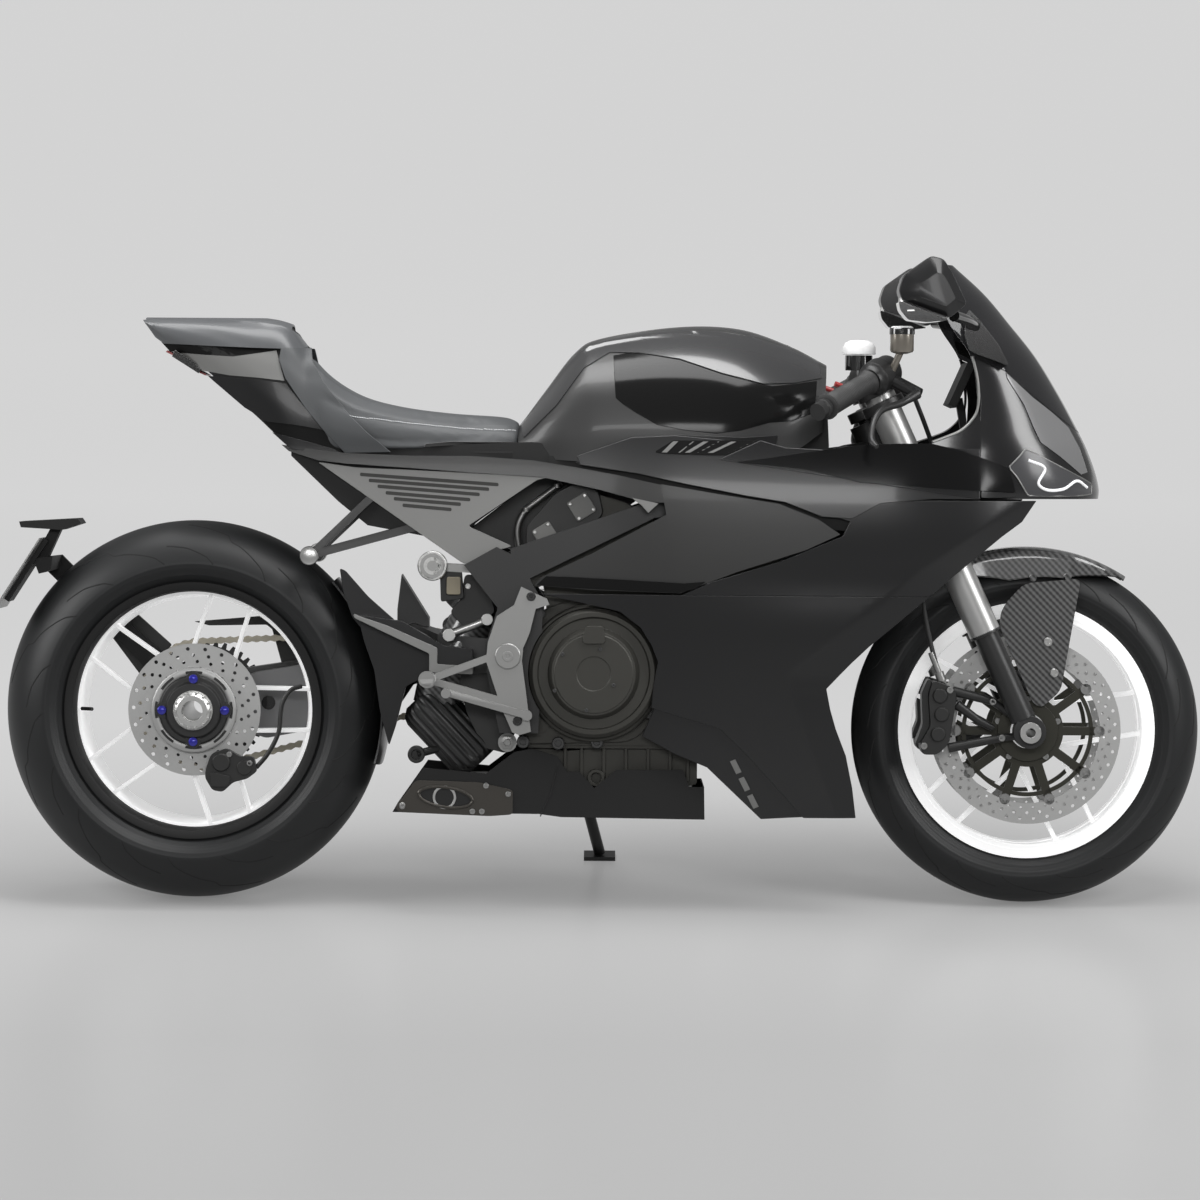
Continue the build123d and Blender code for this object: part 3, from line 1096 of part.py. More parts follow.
def park(nodes):
    """Leans every piece onto the stand and puts the origin on the floor below the middle of the box."""
    tilted = {name: leaned(shape) for name, shape in nodes.items()}
    boxes = [shape.bounding_box() for shape in tilted.values()]
    low = [min(getattr(b.min, axis) for b in boxes) for axis in "XYZ"]
    high = [max(getattr(b.max, axis) for b in boxes) for axis in "XYZ"]
    shift = Vector(-(low[0] + high[0]) / 2, -(low[1] + high[1]) / 2, -low[2])
    return {name: shape.moved(Location(shift)) for name, shape in tilted.items()}


if __name__ == "__main__":
    os.makedirs("parts", exist_ok=True)
    for name, shape in park(pieces()).items():
        export_step(shape, f"parts/{name}.step")
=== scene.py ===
"""Sport motorcycle on its side stand: the finished look of every piece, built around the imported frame.

Sizes are in millimetres in the motorcycle's own upright frame: x forwards from the rear axle, y to its
left from the middle plane, z up from the ground line. place() puts them into the scene in metres.
"""

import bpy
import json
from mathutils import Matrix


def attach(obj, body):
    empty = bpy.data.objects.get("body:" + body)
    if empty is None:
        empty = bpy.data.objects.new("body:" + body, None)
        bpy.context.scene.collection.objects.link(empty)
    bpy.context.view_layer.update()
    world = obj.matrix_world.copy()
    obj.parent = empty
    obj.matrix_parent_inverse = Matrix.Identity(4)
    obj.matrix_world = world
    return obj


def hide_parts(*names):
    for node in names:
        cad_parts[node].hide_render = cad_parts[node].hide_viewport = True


bl_info = {
    "name": "Sport motorcycle",
    "version": (1, 0, 0),
    "blender": (4, 5, 0),
    "location": "View3D > Sidebar > Motorcycle",
    "description": "Builds the bodywork, wheels, controls and stage of a sport motorcycle on its CAD frame",
    "category": "Object",
}

import json
from functools import partial
from math import cos, pi, radians, sin

import bmesh
import bpy
import numpy as np
from mathutils import Matrix, Vector
from mathutils.bvhtree import BVHTree

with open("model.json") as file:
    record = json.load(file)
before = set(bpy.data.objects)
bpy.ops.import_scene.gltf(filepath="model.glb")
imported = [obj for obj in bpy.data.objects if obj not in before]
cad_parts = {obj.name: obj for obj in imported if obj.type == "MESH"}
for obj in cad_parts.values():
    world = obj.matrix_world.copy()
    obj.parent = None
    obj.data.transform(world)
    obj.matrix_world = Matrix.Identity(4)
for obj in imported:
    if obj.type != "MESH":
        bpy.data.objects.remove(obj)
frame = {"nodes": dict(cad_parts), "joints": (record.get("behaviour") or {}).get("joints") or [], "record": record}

# ---------------------------------------------------------------- the motorcycle's own frame
JOINTS = {joint["name"]: joint for joint in frame["joints"]}
AHEAD = np.array((1.0, 0.0, 0.0))
LEFT = np.array(JOINTS["rear_wheel_spin"]["axis"])
UP = np.cross(AHEAD, LEFT)
AXES = np.array((AHEAD, LEFT, UP))
REAR_AXLE = np.array(JOINTS["rear_wheel_spin"]["pos_m"])
ORIGIN = REAR_AXLE - UP * REAR_AXLE[2] / UP[2]
MM = 0.001


def place(points):
    """Millimetres in the motorcycle's frame to metres in the scene."""
    return ORIGIN + np.asarray(points, float) @ AXES * MM


def upright(point):
    """A scene point in metres to millimetres in the motorcycle's frame."""
    return AXES @ (np.asarray(point) - ORIGIN) / MM


REAR_Z = upright(REAR_AXLE)[2]
FRONT_X, _, FRONT_Z = upright(JOINTS["front_wheel_spin"]["pos_m"])
REAR, FRONT = (0.0, 0.0, REAR_Z), (FRONT_X, 0.0, FRONT_Z)
RIGHT = (0, -1, 0)
RAKE = radians(24.5)
# points nearer than this, in metres, are merged
MERGE = 2e-5
# width of a pair of bands of the carbon's weave, in metres
TWILL_PITCH = 0.0115


def up_fork(s, y=0.0):
    """Point on the line of the fork tubes, s up from the front axle."""
    return np.array((FRONT_X - s * sin(RAKE), y, FRONT_Z + s * cos(RAKE)))


def mm(metres):
    """A size the user would change, in millimetres."""
    return metres / MM


# ---------------------------------------------------------------- sizes and colours a user would change
class MotorcycleSizes(bpy.types.PropertyGroup):
    """Sizes of the finish."""

    seam: bpy.props.FloatProperty(
        name="Seam", description="Gap between body panels", default=0.003, min=0.001, max=0.008,
        subtype="DISTANCE", unit="LENGTH")
    edge: bpy.props.FloatProperty(
        name="Edge", description="Rounding of the panels' edges", default=0.0012, min=0.0002, max=0.004,
        subtype="DISTANCE", unit="LENGTH")
    panel: bpy.props.FloatProperty(
        name="Panel", description="Thickness of the body panels", default=0.004, min=0.002, max=0.008,
        subtype="DISTANCE", unit="LENGTH")


def colour(name, text, default):
    """Colour property with its name and description."""
    return bpy.props.FloatVectorProperty(
        name=name, description=text, default=default, size=3, min=0.0, max=1.0, subtype="COLOR")


class MotorcycleColours(bpy.types.PropertyGroup):
    """Colours of the finish."""

    body: colour("Body", "Satin paint of the fairings", (0.011, 0.011, 0.0115))
    frame: colour("Frame", "Paint of the frame's covers", (0.020, 0.020, 0.0195))
    alloy: colour("Alloy", "Bare alloy of plates and tubes", (0.27, 0.27, 0.265))
    engine: colour("Engine", "Cast engine cases", (0.040, 0.039, 0.034))
    wheel: colour("Wheel", "Paint of the rims", (0.86, 0.86, 0.86))
    seat: colour("Seat", "Leather of the seat", (0.060, 0.063, 0.066))
    floor: colour("Floor", "Studio floor", (0.30, 0.30, 0.30))


# ---------------------------------------------------------------- curves
def through(table, at):
    """Smooth reading of rows (position, values): cubic pieces whose slope at a row is the mean of its sides."""
    rows = np.asarray(table, float)
    x, y = rows[:, 0], rows[:, 1:]
    at = np.clip(np.asarray(at, float), x[0], x[-1])
    step = np.diff(x)[:, None]
    chord = np.diff(y, axis=0) / step
    slope = np.vstack((chord[:1], (chord[1:] + chord[:-1]) / 2, chord[-1:]))
    i = np.clip(np.searchsorted(x, at, side="right") - 1, 0, len(x) - 2)
    h = (x[i + 1] - x[i])[..., None]
    t = (at - x[i])[..., None] / h
    out = ((1 + 2 * t) * (1 - t) ** 2 * y[i] + t * (1 - t) ** 2 * h * slope[i]
           + t * t * (3 - 2 * t) * y[i + 1] + t * t * (t - 1) * h * slope[i + 1])
    return out[..., 0] if out.shape[-1] == 1 else out


def along(points, count, smooth=False):
    """Count points evenly spaced along a line of points, straight between them or smooth through them."""
    p = np.asarray(points, float)
    run = np.concatenate(([0.0], np.cumsum(np.linalg.norm(np.diff(p, axis=0), axis=1))))
    at = np.linspace(0, run[-1], count)
    if smooth:
        return through(np.column_stack((run, p)), at)
    return np.column_stack([np.interp(at, run, p[:, k]) for k in range(p.shape[1])])


def subdivided(rows, per):
    """Rows of a table with per steps put linearly between each two."""
    rows = np.asarray(rows, float)
    at = np.linspace(0, len(rows) - 1, (len(rows) - 1) * per + 1)
    return np.column_stack([np.interp(at, np.arange(len(rows)), rows[:, k]) for k in range(rows.shape[1])])


# ---------------------------------------------------------------- meshes
def quads(index):
    """Four-cornered faces between neighbours of a grid of vertex numbers."""
    a, b, c, d = index[:-1, :-1], index[1:, :-1], index[1:, 1:], index[:-1, 1:]
    return np.stack((a, b, c, d), -1).reshape(-1, 4)


def joined(*shapes):
    """Shapes, each (vertices, faces), gathered into one."""
    verts = [np.asarray(points, float).reshape(-1, 3) for points, _ in shapes]
    first = np.cumsum([0, *map(len, verts)])
    faces = [[int(i + k) for i in face] for (_, part), k in zip(shapes, first) for face in part]
    return np.vstack(verts), faces


def both(*shapes):
    """Shapes gathered into one, and the same again on the other side of the middle plane."""
    verts, faces = joined(*shapes)
    other = [[i + len(verts) for i in reversed(face)] for face in faces]
    return np.vstack((verts, verts * (1, -1, 1))), faces + other


def piece(name, look, *shapes, slot=None, body="chassis", replaces=(), sharp=32, edge=0.0):
    """Object of the shapes, in millimetres, finished by dressed()."""
    verts, faces = joined(*shapes)
    mesh = bpy.data.meshes.new(name)
    mesh.from_pydata(place(verts).tolist(), [], faces)
    return dressed(name, mesh, look, slot or SLOT_OF[look], body, replaces, sharp, edge)


on_steering = partial(piece, body="steering")
on_front_wheel = partial(piece, body="front_wheel")
on_rear_wheel = partial(piece, body="rear_wheel")


def dressed(name, mesh, look, slot, body, replaces=(), sharp=32, edge=0.0):
    """Object at the origin from a mesh: doubles merged, faces outwards, angles over sharp kept as edges and
    rounded by edge, riding on its body in place of the named nodes."""
    work = bmesh.new()
    work.from_mesh(mesh)
    bmesh.ops.remove_doubles(work, verts=work.verts, dist=MERGE)
    bmesh.ops.dissolve_degenerate(work, edges=work.edges, dist=MERGE / 20)
    bmesh.ops.recalc_face_normals(work, faces=work.faces)
    work.to_mesh(mesh)
    work.free()
    mesh.materials.clear()
    mesh.materials.append(finish(look))
    mesh.shade_smooth()
    mesh.set_sharp_from_angle(angle=radians(sharp))
    obj = bpy.data.objects.new(name, mesh)
    bpy.context.scene.collection.objects.link(obj)
    if edge:
        bevel = obj.modifiers.new("edges", "BEVEL")
        bevel.width = edge * MM
        bevel.segments = 2
        bevel.limit_method = "ANGLE"
        bevel.angle_limit = radians(38)
        bevel.harden_normals = True
    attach(obj, body)
    if replaces:
        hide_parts(*replaces)
    return obj


def polished(node, look, slot, body, edge=0.8, sharp=32):
    """The CAD node's own mesh, merged, with rounded edges and smooth rounds, in place of the plain node."""
    mesh = frame["nodes"][node].data.copy()
    work = bmesh.new()
    work.from_mesh(mesh)
    bmesh.ops.remove_doubles(work, verts=work.verts, dist=MERGE)
    bmesh.ops.dissolve_limit(work, angle_limit=radians(0.5), verts=work.verts, edges=work.edges)
    work.to_mesh(mesh)
    work.free()
    return dressed(node + "_piece", mesh, look, slot, body, [node], sharp, edge)


def wall(outer, inner):
    """Closed shell between two grids of points of the same size, joined all round their rims."""
    n, m = outer.shape[:2]
    index = np.arange(n * m).reshape(n, m)
    back = index + n * m
    rim = np.concatenate((index[0, :], index[1:, -1], index[-1, -2::-1], index[-2:0:-1, 0]))
    loop = np.append(rim, rim[0])
    faces = [*quads(index), *quads(back)[:, ::-1], *quads(np.stack((loop, loop + n * m)))]
    return np.vstack((outer.reshape(-1, 3), inner.reshape(-1, 3))), faces


def turned(profile, centre, axis=(0, 1, 0), steps=96, closed=True):
    """Profile of (along, radius) points carried round an axis through centre: centre + axis * along + radius
    turned by the angle. A closed profile is a ring, an open one ends on the axis or is capped."""
    p = np.asarray(profile, float)
    axis = np.asarray(axis, float) / np.linalg.norm(axis)
    side = np.cross(axis, (0, 0, 1.0) if abs(axis[2]) < 0.9 else (1.0, 0, 0))
    side /= np.linalg.norm(side)
    up = np.cross(side, axis)
    angle = np.arange(steps) / steps * 2 * pi
    ring = np.cos(angle)[:, None] * side + np.sin(angle)[:, None] * up
    grid = np.asarray(centre, float) + p[None, :, :1] * axis + p[None, :, 1:] * ring[:, None]
    index = np.arange(steps * len(p)).reshape(steps, len(p))
    index = np.vstack((index, index[:1]))
    if closed:
        index = np.hstack((index, index[:, :1]))
    faces = list(quads(index))
    if not closed:
        faces += [index[:-1, 0], index[:-1, -1][::-1]]
    return grid.reshape(-1, 3), faces


def tube(path, radius, steps=16):
    """Round tube: a circle carried along a line of points, square to it, with its ends capped."""
    p = np.asarray(path, float)
    run = np.gradient(p, axis=0)
    run /= np.linalg.norm(run, axis=1)[:, None]
    helper = np.array((0, 1.0, 0)) if abs(run[:, 1]).max() < 0.85 else np.array((0, 0, 1.0))
    side = np.cross(run, helper)
    side /= np.linalg.norm(side, axis=1)[:, None]
    up = np.cross(side, run)
    angle = np.arange(steps) / steps * 2 * pi
    turn = np.cos(angle)[None, :, None] * side[:, None] + np.sin(angle)[None, :, None] * up[:, None]
    r = np.broadcast_to(np.asarray(radius, float), (len(p),))[:, None, None]
    grid = p[:, None] + r * turn
    index = np.arange(len(p) * steps).reshape(len(p), steps)
    index = np.hstack((index, index[:, :1]))
    return grid.reshape(-1, 3), [*quads(index), index[0, :-1], index[-1, :-1][::-1]]


def slab(outline, y0, y1):
    """Flat plate: a closed (x, z) outline carried from y0 to y1."""
    o = np.asarray(outline, float)
    n = len(o)
    verts = np.vstack([np.column_stack((o[:, 0], np.full(n, y), o[:, 1])) for y in (y0, y1)])
    index = np.arange(2 * n).reshape(2, n)
    index = np.hstack((index, index[:, :1]))
    return verts, [*quads(index), index[0, :-1], index[1, :-1][::-1]]


def rod(p, q, r, steps=32, taper=1.0):
    """Round bar from p to q, its far radius r times taper."""
    return turned([(0, r), (float(np.linalg.norm(np.subtract(q, p))), r * taper)], p,
                  np.subtract(q, p), steps, closed=False)


def bolt(p, axis, r, tall=0.6):
    """Socket-head bolt: a round head with a chamfer and a six-sided recess, its top at p + axis * tall * r."""
    h = r * tall
    profile = [(-h, r), (h * 0.75, r), (h, r * 0.86), (h, r * 0.52), (h * 0.2, r * 0.5), (h * 0.2, 0.01)]
    return turned(profile, p, axis, steps=12, closed=False)


def band(start, end, low, high):
    """Profile of a plain ring from start to end along its axis, between two radii."""
    return [(start, low), (start, high), (end, high), (end, low)]


def boss(profile, at, steps=32, closed=False):
    """Round piece standing out to the right at a point."""
    return turned(profile, at, RIGHT, steps, closed)


def bolts(places, y, r, tall=0.6):
    """Bolts at (x, z) places with their heads to the right at y."""
    return joined(*(bolt((x, y, z), RIGHT, r, tall) for x, z in places))


def around(centre, r, count, turn=0.0):
    """(x, z) places spaced evenly round an axle, the first turned by a share of a step."""
    angles = [(k + turn) * 2 * pi / count for k in range(count)]
    return [(centre[0] + r * cos(a), centre[2] + r * sin(a)) for a in angles]


def rounded(outline, r, per=4):
    """Closed outline with each corner cut back by r, or by 0.45 of its shorter side, and joined by a
    quadratic curve."""
    o = np.asarray(outline, float)
    before, after = np.roll(o, 1, axis=0) - o, np.roll(o, -1, axis=0) - o
    size = [np.linalg.norm(run, axis=1)[:, None] for run in (before, after)]
    back = np.minimum(r, 0.45 * np.minimum(*size))
    start, end = o + before / size[0] * back, o + after / size[1] * back
    t = np.linspace(0, 1, per + 1)[None, :, None]
    curve = start[:, None] * (1 - t) ** 2 + o[:, None] * 2 * t * (1 - t) + end[:, None] * t ** 2
    return curve.reshape(-1, 2)


# ---------------------------------------------------------------- materials
def socket(group, name, kind, default=None, way="INPUT"):
    """Input or output of a node group, with its value where one is given."""
    item = group.interface.new_socket(name=name, in_out=way, socket_type=kind)
    if default is not None:
        item.default_value = default
    return item


def add(tree, kind, links=None, **values):
    """A node with its plain values set and its inputs linked from other nodes' outputs."""
    node = tree.nodes.new(kind)
    for key, value in values.items():
        setattr(node, key, value)
    for key, source in (links or {}).items():
        if isinstance(source, bpy.types.NodeSocket):
            tree.links.new(source, node.inputs[key])
        else:
            node.inputs[key].default_value = source
    return node


def calculate(tree, operation, *values):
    """Output of a Math node on sockets or plain values."""
    return add(tree, "ShaderNodeMath", dict(enumerate(values)), operation=operation).outputs[0]


def new_group(name, inputs, outputs):
    """Empty node group with named inputs and outputs, its start and end, and its Object coordinates."""
    group = bpy.data.node_groups.new(name, "ShaderNodeTree")
    for key, default in inputs.items():
        socket(group, key, "NodeSocketFloat" if isinstance(default, float) else "NodeSocketColor", default)
    for key in outputs:
        socket(group, key, "NodeSocketColor" if key == "Color" else "NodeSocketFloat", way="OUTPUT")
    start, end = group.nodes.new("NodeGroupInput"), group.nodes.new("NodeGroupOutput")
    return group, start.outputs, end.inputs, add(group, "ShaderNodeTexCoord").outputs["Object"]


def grain_group():
    """Broad cloudiness of a colour and its roughness with a fine grain for the surface."""
    g, start, end, where = new_group(
        "grain", {"Color": (0.5, 0.5, 0.5, 1), "Roughness": 0.4, "Cloud": 0.1, "Scale": 300.0},
        ("Color", "Roughness", "Height"))
    broad = add(g, "ShaderNodeTexNoise", {"Vector": where, "Scale": 6.0, "Detail": 3.0})
    fine = add(g, "ShaderNodeTexNoise", {"Vector": where, "Scale": start["Scale"], "Detail": 2.0})
    swing = calculate(g, "MULTIPLY", calculate(g, "SUBTRACT", broad.outputs["Fac"], 0.5), start["Cloud"])
    light = calculate(g, "ADD", swing, 1.0)
    tint = add(g, "ShaderNodeVectorMath", {0: start["Color"], "Scale": light}, operation="SCALE")
    g.links.new(tint.outputs[0], end["Color"])
    g.links.new(calculate(g, "MULTIPLY", start["Roughness"], light), end["Roughness"])
    g.links.new(fine.outputs["Fac"], end["Height"])
    return g


def twill_group():
    """Diagonal twill weave: bands of light and dark fibre across the length, height and shares of a colour."""
    g, start, end, where = new_group(
        "twill", {"Dark": (0.01, 0.01, 0.01, 1), "Light": (0.1, 0.1, 0.1, 1), "Pitch": 100.0},
        ("Color", "Height"))
    parts = add(g, "ShaderNodeSeparateXYZ", {"Vector": where}).outputs
    wave, ripple = (calculate(g, "SINE", calculate(g, "MULTIPLY", calculate(g, way, parts["X"], parts["Z"]),
                                                   start["Pitch"])) for way in ("ADD", "SUBTRACT"))
    total = calculate(g, "ADD", wave, calculate(g, "MULTIPLY", ripple, 0.25))
    share = add(g, "ShaderNodeMapRange", {"Value": total, "From Min": -1.0, "From Max": 1.0})
    mix = add(g, "ShaderNodeMix", {"Factor": share.outputs[0]}, data_type="RGBA")
    g.links.new(start["Dark"], mix.inputs["A"])
    g.links.new(start["Light"], mix.inputs["B"])
    g.links.new([o for o in mix.outputs if o.type == "RGBA"][0], end["Color"])
    g.links.new(share.outputs[0], end["Height"])
    return g


# finishes by material slot: the tint is a colour, one value for a grey or the name of a colour that the user
# would change, and the rest is what differs from the values of paint()
FINISHES = {
    "fairing_black": {
        "satin_body": dict(tint="body", rough=0.3, coat=0.1, cloud=0.06, Specular_IOR_Level=0.35),
        "glossier_body": dict(tint=(0.008, 0.008, 0.0085), rough=0.2, coat=0.3, cloud=0.04),
        "shoulder_gloss": dict(tint=(0.010, 0.010, 0.0105), rough=0.3, coat=0.25, cloud=0.05),
        # pale grey of the cowl's blade facets is a painted reflection
        "blade_painted_sheen": dict(tint=(0.15, 0.15, 0.152), rough=0.25, coat=0.5),
        "hump_grey": dict(tint=(0.075, 0.078, 0.082), rough=0.42, coat=0.1, cloud=0.05),
        "scoop_grey": dict(tint=(0.17, 0.17, 0.165), rough=0.35),
        # near-black sheets in the vents, the tail's slots and along the pod's lower edge: painted shade
        "painted_shade_black": dict(tint=0.003, rough=0.5, Specular_IOR_Level=0.15),
        "deep_gloss": dict(tint=(0.004, 0.004, 0.0042), rough=0.16, cloud=0.03, Specular_IOR_Level=0.3),
        # near-black plate in the outlet's opening is painted shade; the seam lines are dark joints
        "outlet_shade_and_seam_black": dict(tint=0.004, rough=0.7),
    },
    "frame_paint": {
        "cover_paint": dict(tint="frame", coat=0.1),
    },
    "tank_paint": {
        "tank_paint": dict(tint=0.028, coat=0.15, cloud=0.06),
        "tank_band": dict(tint=(0.035, 0.035, 0.036), rough=0.22, coat=0.6, cloud=0.05),
        "gloss_recess": dict(tint=0.008, rough=0.12, cloud=0.03, Specular_IOR_Level=0.22),
    },
    "matte_black": {
        "matte_black": dict(tint=0.009, rough=0.62, bump=0.05, Specular_IOR_Level=0.3),
        "gloss_black": dict(tint=0.008, rough=0.12, coat=1.0, cloud=0.03),
        "relay_beige": dict(tint=(0.20, 0.175, 0.125), rough=0.5),
    },
    "dark_alloy": {
        "dark_metal": dict(tint=0.035, metal=0.6, bump=0.05),
        "cast_black": dict(tint=(0.014, 0.014, 0.0135), rough=0.45, metal=0.2, bump=0.06),
        "cast_grey": dict(tint=0.05, rough=0.45, metal=0.5, bump=0.05),
        "cover_grey": dict(tint=(0.12, 0.12, 0.115), rough=0.45),
        "arm_grey": dict(tint=(0.14, 0.14, 0.142), metal=0.3),
        "engine_casting": dict(tint="engine", rough=0.5, metal=0.5, scale=700, bump=0.15),
        "carrier_anodised": dict(tint=(0.045, 0.044, 0.036), metal=0.8, coat=0.1),
    },
    "brushed_alloy": {
        "plate_silver": dict(tint=(0.21, 0.21, 0.205), rough=0.42, metal=0.6, scale=900, bump=0.03),
        # dark inlays on the side plates: painted shade in place of cut slots
        "slot_painted_shade": dict(tint=(0.035, 0.035, 0.033), rough=0.5, metal=0.3),
        "sleeve_silver": dict(tint=(0.42, 0.42, 0.415), rough=0.35, metal=0.7),
        "pot_silver": dict(tint=(0.22, 0.20, 0.17), rough=0.3, metal=0.5, coat=0.4),
    },
    "steel": {
        "bright_steel": dict(tint=(0.52, 0.52, 0.51), rough=0.3, metal=1.0, scale=600, bump=0.03),
        "brushed_alloy": dict(tint="alloy", rough=0.38, metal=0.85, scale=500, bump=0.04),
        "disc_steel": dict(tint=(0.40, 0.40, 0.395), rough=0.45, metal=0.6, cloud=0.05),
        "outlet_metal": dict(tint=(0.06, 0.056, 0.05), metal=0.8),
        "chain_bronze": dict(tint=(0.42, 0.39, 0.32), rough=0.35, metal=0.6),
        "blue_pins": dict(tint=(0.02, 0.02, 0.32), rough=0.3, metal=0.5, coat=0.6),
    },
    "plate_white": {
        "cap_white": dict(tint=0.75, rough=0.35),
    },
    "grip_rubber": {
        "rubber": dict(tint=0.018, rough=0.6, scale=800, bump=0.1),
    },
    "tyre": {
        "tyre_rubber": dict(tint=(0.014, 0.0145, 0.015), rough=0.45, cloud=0.2, scale=500, bump=0.06,
                            Specular_IOR_Level=0.3),
        # near-black strips for the tread's grooves: painted shade in place of cut recesses
        "groove_painted_shade": dict(tint=0.004, rough=0.8),
    },
    "seat_leather": {
        "seat_leather": dict(tint="seat", rough=0.55, scale=900, bump=0.25),
        "thread": dict(tint=(0.62, 0.63, 0.64), rough=0.7),
    },
    "white_wheel": {
        # white rim paint with a painted glow: emission lights the rims though they are no lamp
        "wheel_white": dict(tint="wheel", cloud=0.02, Emission_Color=(1, 1, 1, 1), Emission_Strength=0.32),
    },
    "smoked_screen": {
        "smoked_glass": dict(tint=(0.035, 0.035, 0.037), rough=0.04, cloud=0.02, IOR=1.45,
                             Transmission_Weight=0.55),
    },
    "lamp_lens": {
        "lamp_lens": dict(tint=(0.06, 0.06, 0.063), rough=0.2, Specular_IOR_Level=0.4),
        "lamp_white": dict(tint=(0.85, 0.86, 0.88), rough=0.3, Emission_Color=(1, 1, 1, 1),
                           Emission_Strength=0.2),
    },
    "red_lens": {
        "red_lens": dict(tint=(0.30, 0.03, 0.03), rough=0.3),
    },
}
SLOT_OF = {look: slot for slot, looks in FINISHES.items() for look in looks} | {"carbon_twill": "carbon"}
GROUPS = {}
MATERIALS = {}


def new_material(name, group_name, make_group, values):
    """Material whose base colour comes from a node group with its own values."""
    if group_name not in GROUPS:
        GROUPS[group_name] = make_group()
    MATERIALS[name] = bpy.data.materials.new(name)
    MATERIALS[name].use_nodes = True
    tree = MATERIALS[name].node_tree
    shader = tree.nodes["Principled BSDF"]
    group = add(tree, "ShaderNodeGroup", node_tree=GROUPS[group_name])
    for key, value in values.items():
        group.inputs[key].default_value = value
    tree.links.new(group.outputs["Color"], shader.inputs["Base Color"])
    return tree, shader, group


def finish(name):
    """Material of a named finish, made when it is first asked for."""
    if name not in MATERIALS:
        if name == "carbon_twill":
            carbon(name)
        else:
            paint(name, **FINISHES[SLOT_OF[name]][name])
    return MATERIALS[name]


def paint(name, tint, rough=0.4, metal=0.0, coat=0.0, cloud=0.12, scale=300.0, bump=0.0, **plain):
    """Paint or metal: its colour and roughness clouded a little, with a fine grain."""
    if isinstance(tint, str):
        tint = getattr(bpy.context.scene.motorcycle_colours, tint)
    elif isinstance(tint, float):
        tint = (tint, tint, tint)
    tree, shader, group = new_material(name, "grain", grain_group, {
        "Color": (*tint, 1), "Roughness": rough, "Cloud": cloud, "Scale": scale})
    tree.links.new(group.outputs["Roughness"], shader.inputs["Roughness"])
    for key, value in {"Metallic": metal, "Coat Weight": coat, "Coat Roughness": 0.08, **plain}.items():
        shader.inputs[key.replace("_", " ")].default_value = value
    if bump:
        relief = add(tree, "ShaderNodeBump", {"Height": group.outputs["Height"], "Strength": bump,
                                              "Distance": 0.0005})
        tree.links.new(relief.outputs["Normal"], shader.inputs["Normal"])


def carbon(name):
    """Twill under a clear coat."""
    shader = new_material(name, "twill", twill_group, {
        "Dark": (0.008, 0.008, 0.008, 1), "Light": (0.11, 0.11, 0.11, 1), "Pitch": 2 * pi / TWILL_PITCH})[1]
    for key, value in (("Roughness", 0.32), ("Coat Weight", 0.8), ("Coat Roughness", 0.05)):
        shader.inputs[key].default_value = value


# ---------------------------------------------------------------- the body's width
WIDEST = [(150, 120), (400, 146), (600, 154), (700, 168), (850, 198), (1000, 218), (1150, 226), (1250, 219),
          (1350, 196), (1430, 158), (1500, 108), (1560, 50)]
SHOULDER_Z = 650.0
FRONT_CREASE = [(157, 1104), (363, 1024), (399, 1017), (577, 1239), (640, 1330), (700, 1420)]


def body_half(x, z):
    """Half width of the bodywork: read smoothly by x, less 0.4 of the square of its drop from the shoulder."""
    width = through(WIDEST, x)
    drop = np.where(z < SHOULDER_Z, (SHOULDER_Z - z) / 500.0, (z - SHOULDER_Z) / 330.0)
    return width * (1 - 0.40 * drop * drop)


def fairing_half(x, z):
    """Half width of the side fairing: the bodywork's, drawn in ahead of the front crease and hollowed a
    little along a line below the pod."""
    rows = np.array(FRONT_CREASE, float)
    ahead = np.maximum(x - np.interp(z, rows[:, 0], rows[:, 1]), 0)
    hollow = 7.0 * np.exp(-((z - 560.0) / 55.0) ** 2) * np.clip((x - 850) / 200, 0, 1)
    return body_half(x, z) - 0.22 * ahead - hollow


def panel(stations, inset=0.0, thick=None, per=6, across=14, half=body_half):
    """Shell panel of the right side between its upper and lower edges, each station (upper x, upper z,
    lower x, lower z): the points between the edges are put out to the body's half width less the inset."""
    s = subdivided(stations, per)
    share = np.linspace(0, 1, across + 1)[None, :, None]
    flat = s[:, None, :2] * (1 - share) + s[:, None, 2:4] * share
    x, z = flat[..., 0], flat[..., 1]
    thick = mm(bpy.context.scene.motorcycle_sizes.panel) if thick is None else thick
    y = inset - half(x, z)
    outer = np.stack((x, y, z), -1)
    return wall(outer, outer + (0, thick, 0))


def trimmed(stations, gap):
    """Stations with the upper and lower edge each moved in by half a seam."""
    s = np.asarray(stations, float)
    run = s[:, 2:4] - s[:, :2]
    run = run / np.maximum(np.linalg.norm(run, axis=1)[:, None], 1e-6)
    return np.hstack((s[:, :2] + run * gap / 2, s[:, 2:4] - run * gap / 2))


SHOULDER = [(656, 770, 664, 752), (749, 802, 760, 738), (824, 806, 840, 721), (946, 795, 946, 701),
            (1010, 782, 1010, 691), (1075, 779, 1072, 667), (1135, 776, 1122, 664), (1180, 780, 1170, 690),
            (1257, 787, 1257, 698), (1340, 782, 1340, 698)]
UPPER_SHOULDER = [(968, 797, 897, 764), (1010, 785, 990, 750), (1135, 779, 1135, 729), (1257, 789, 1257, 711),
                  (1340, 784, 1340, 700)]
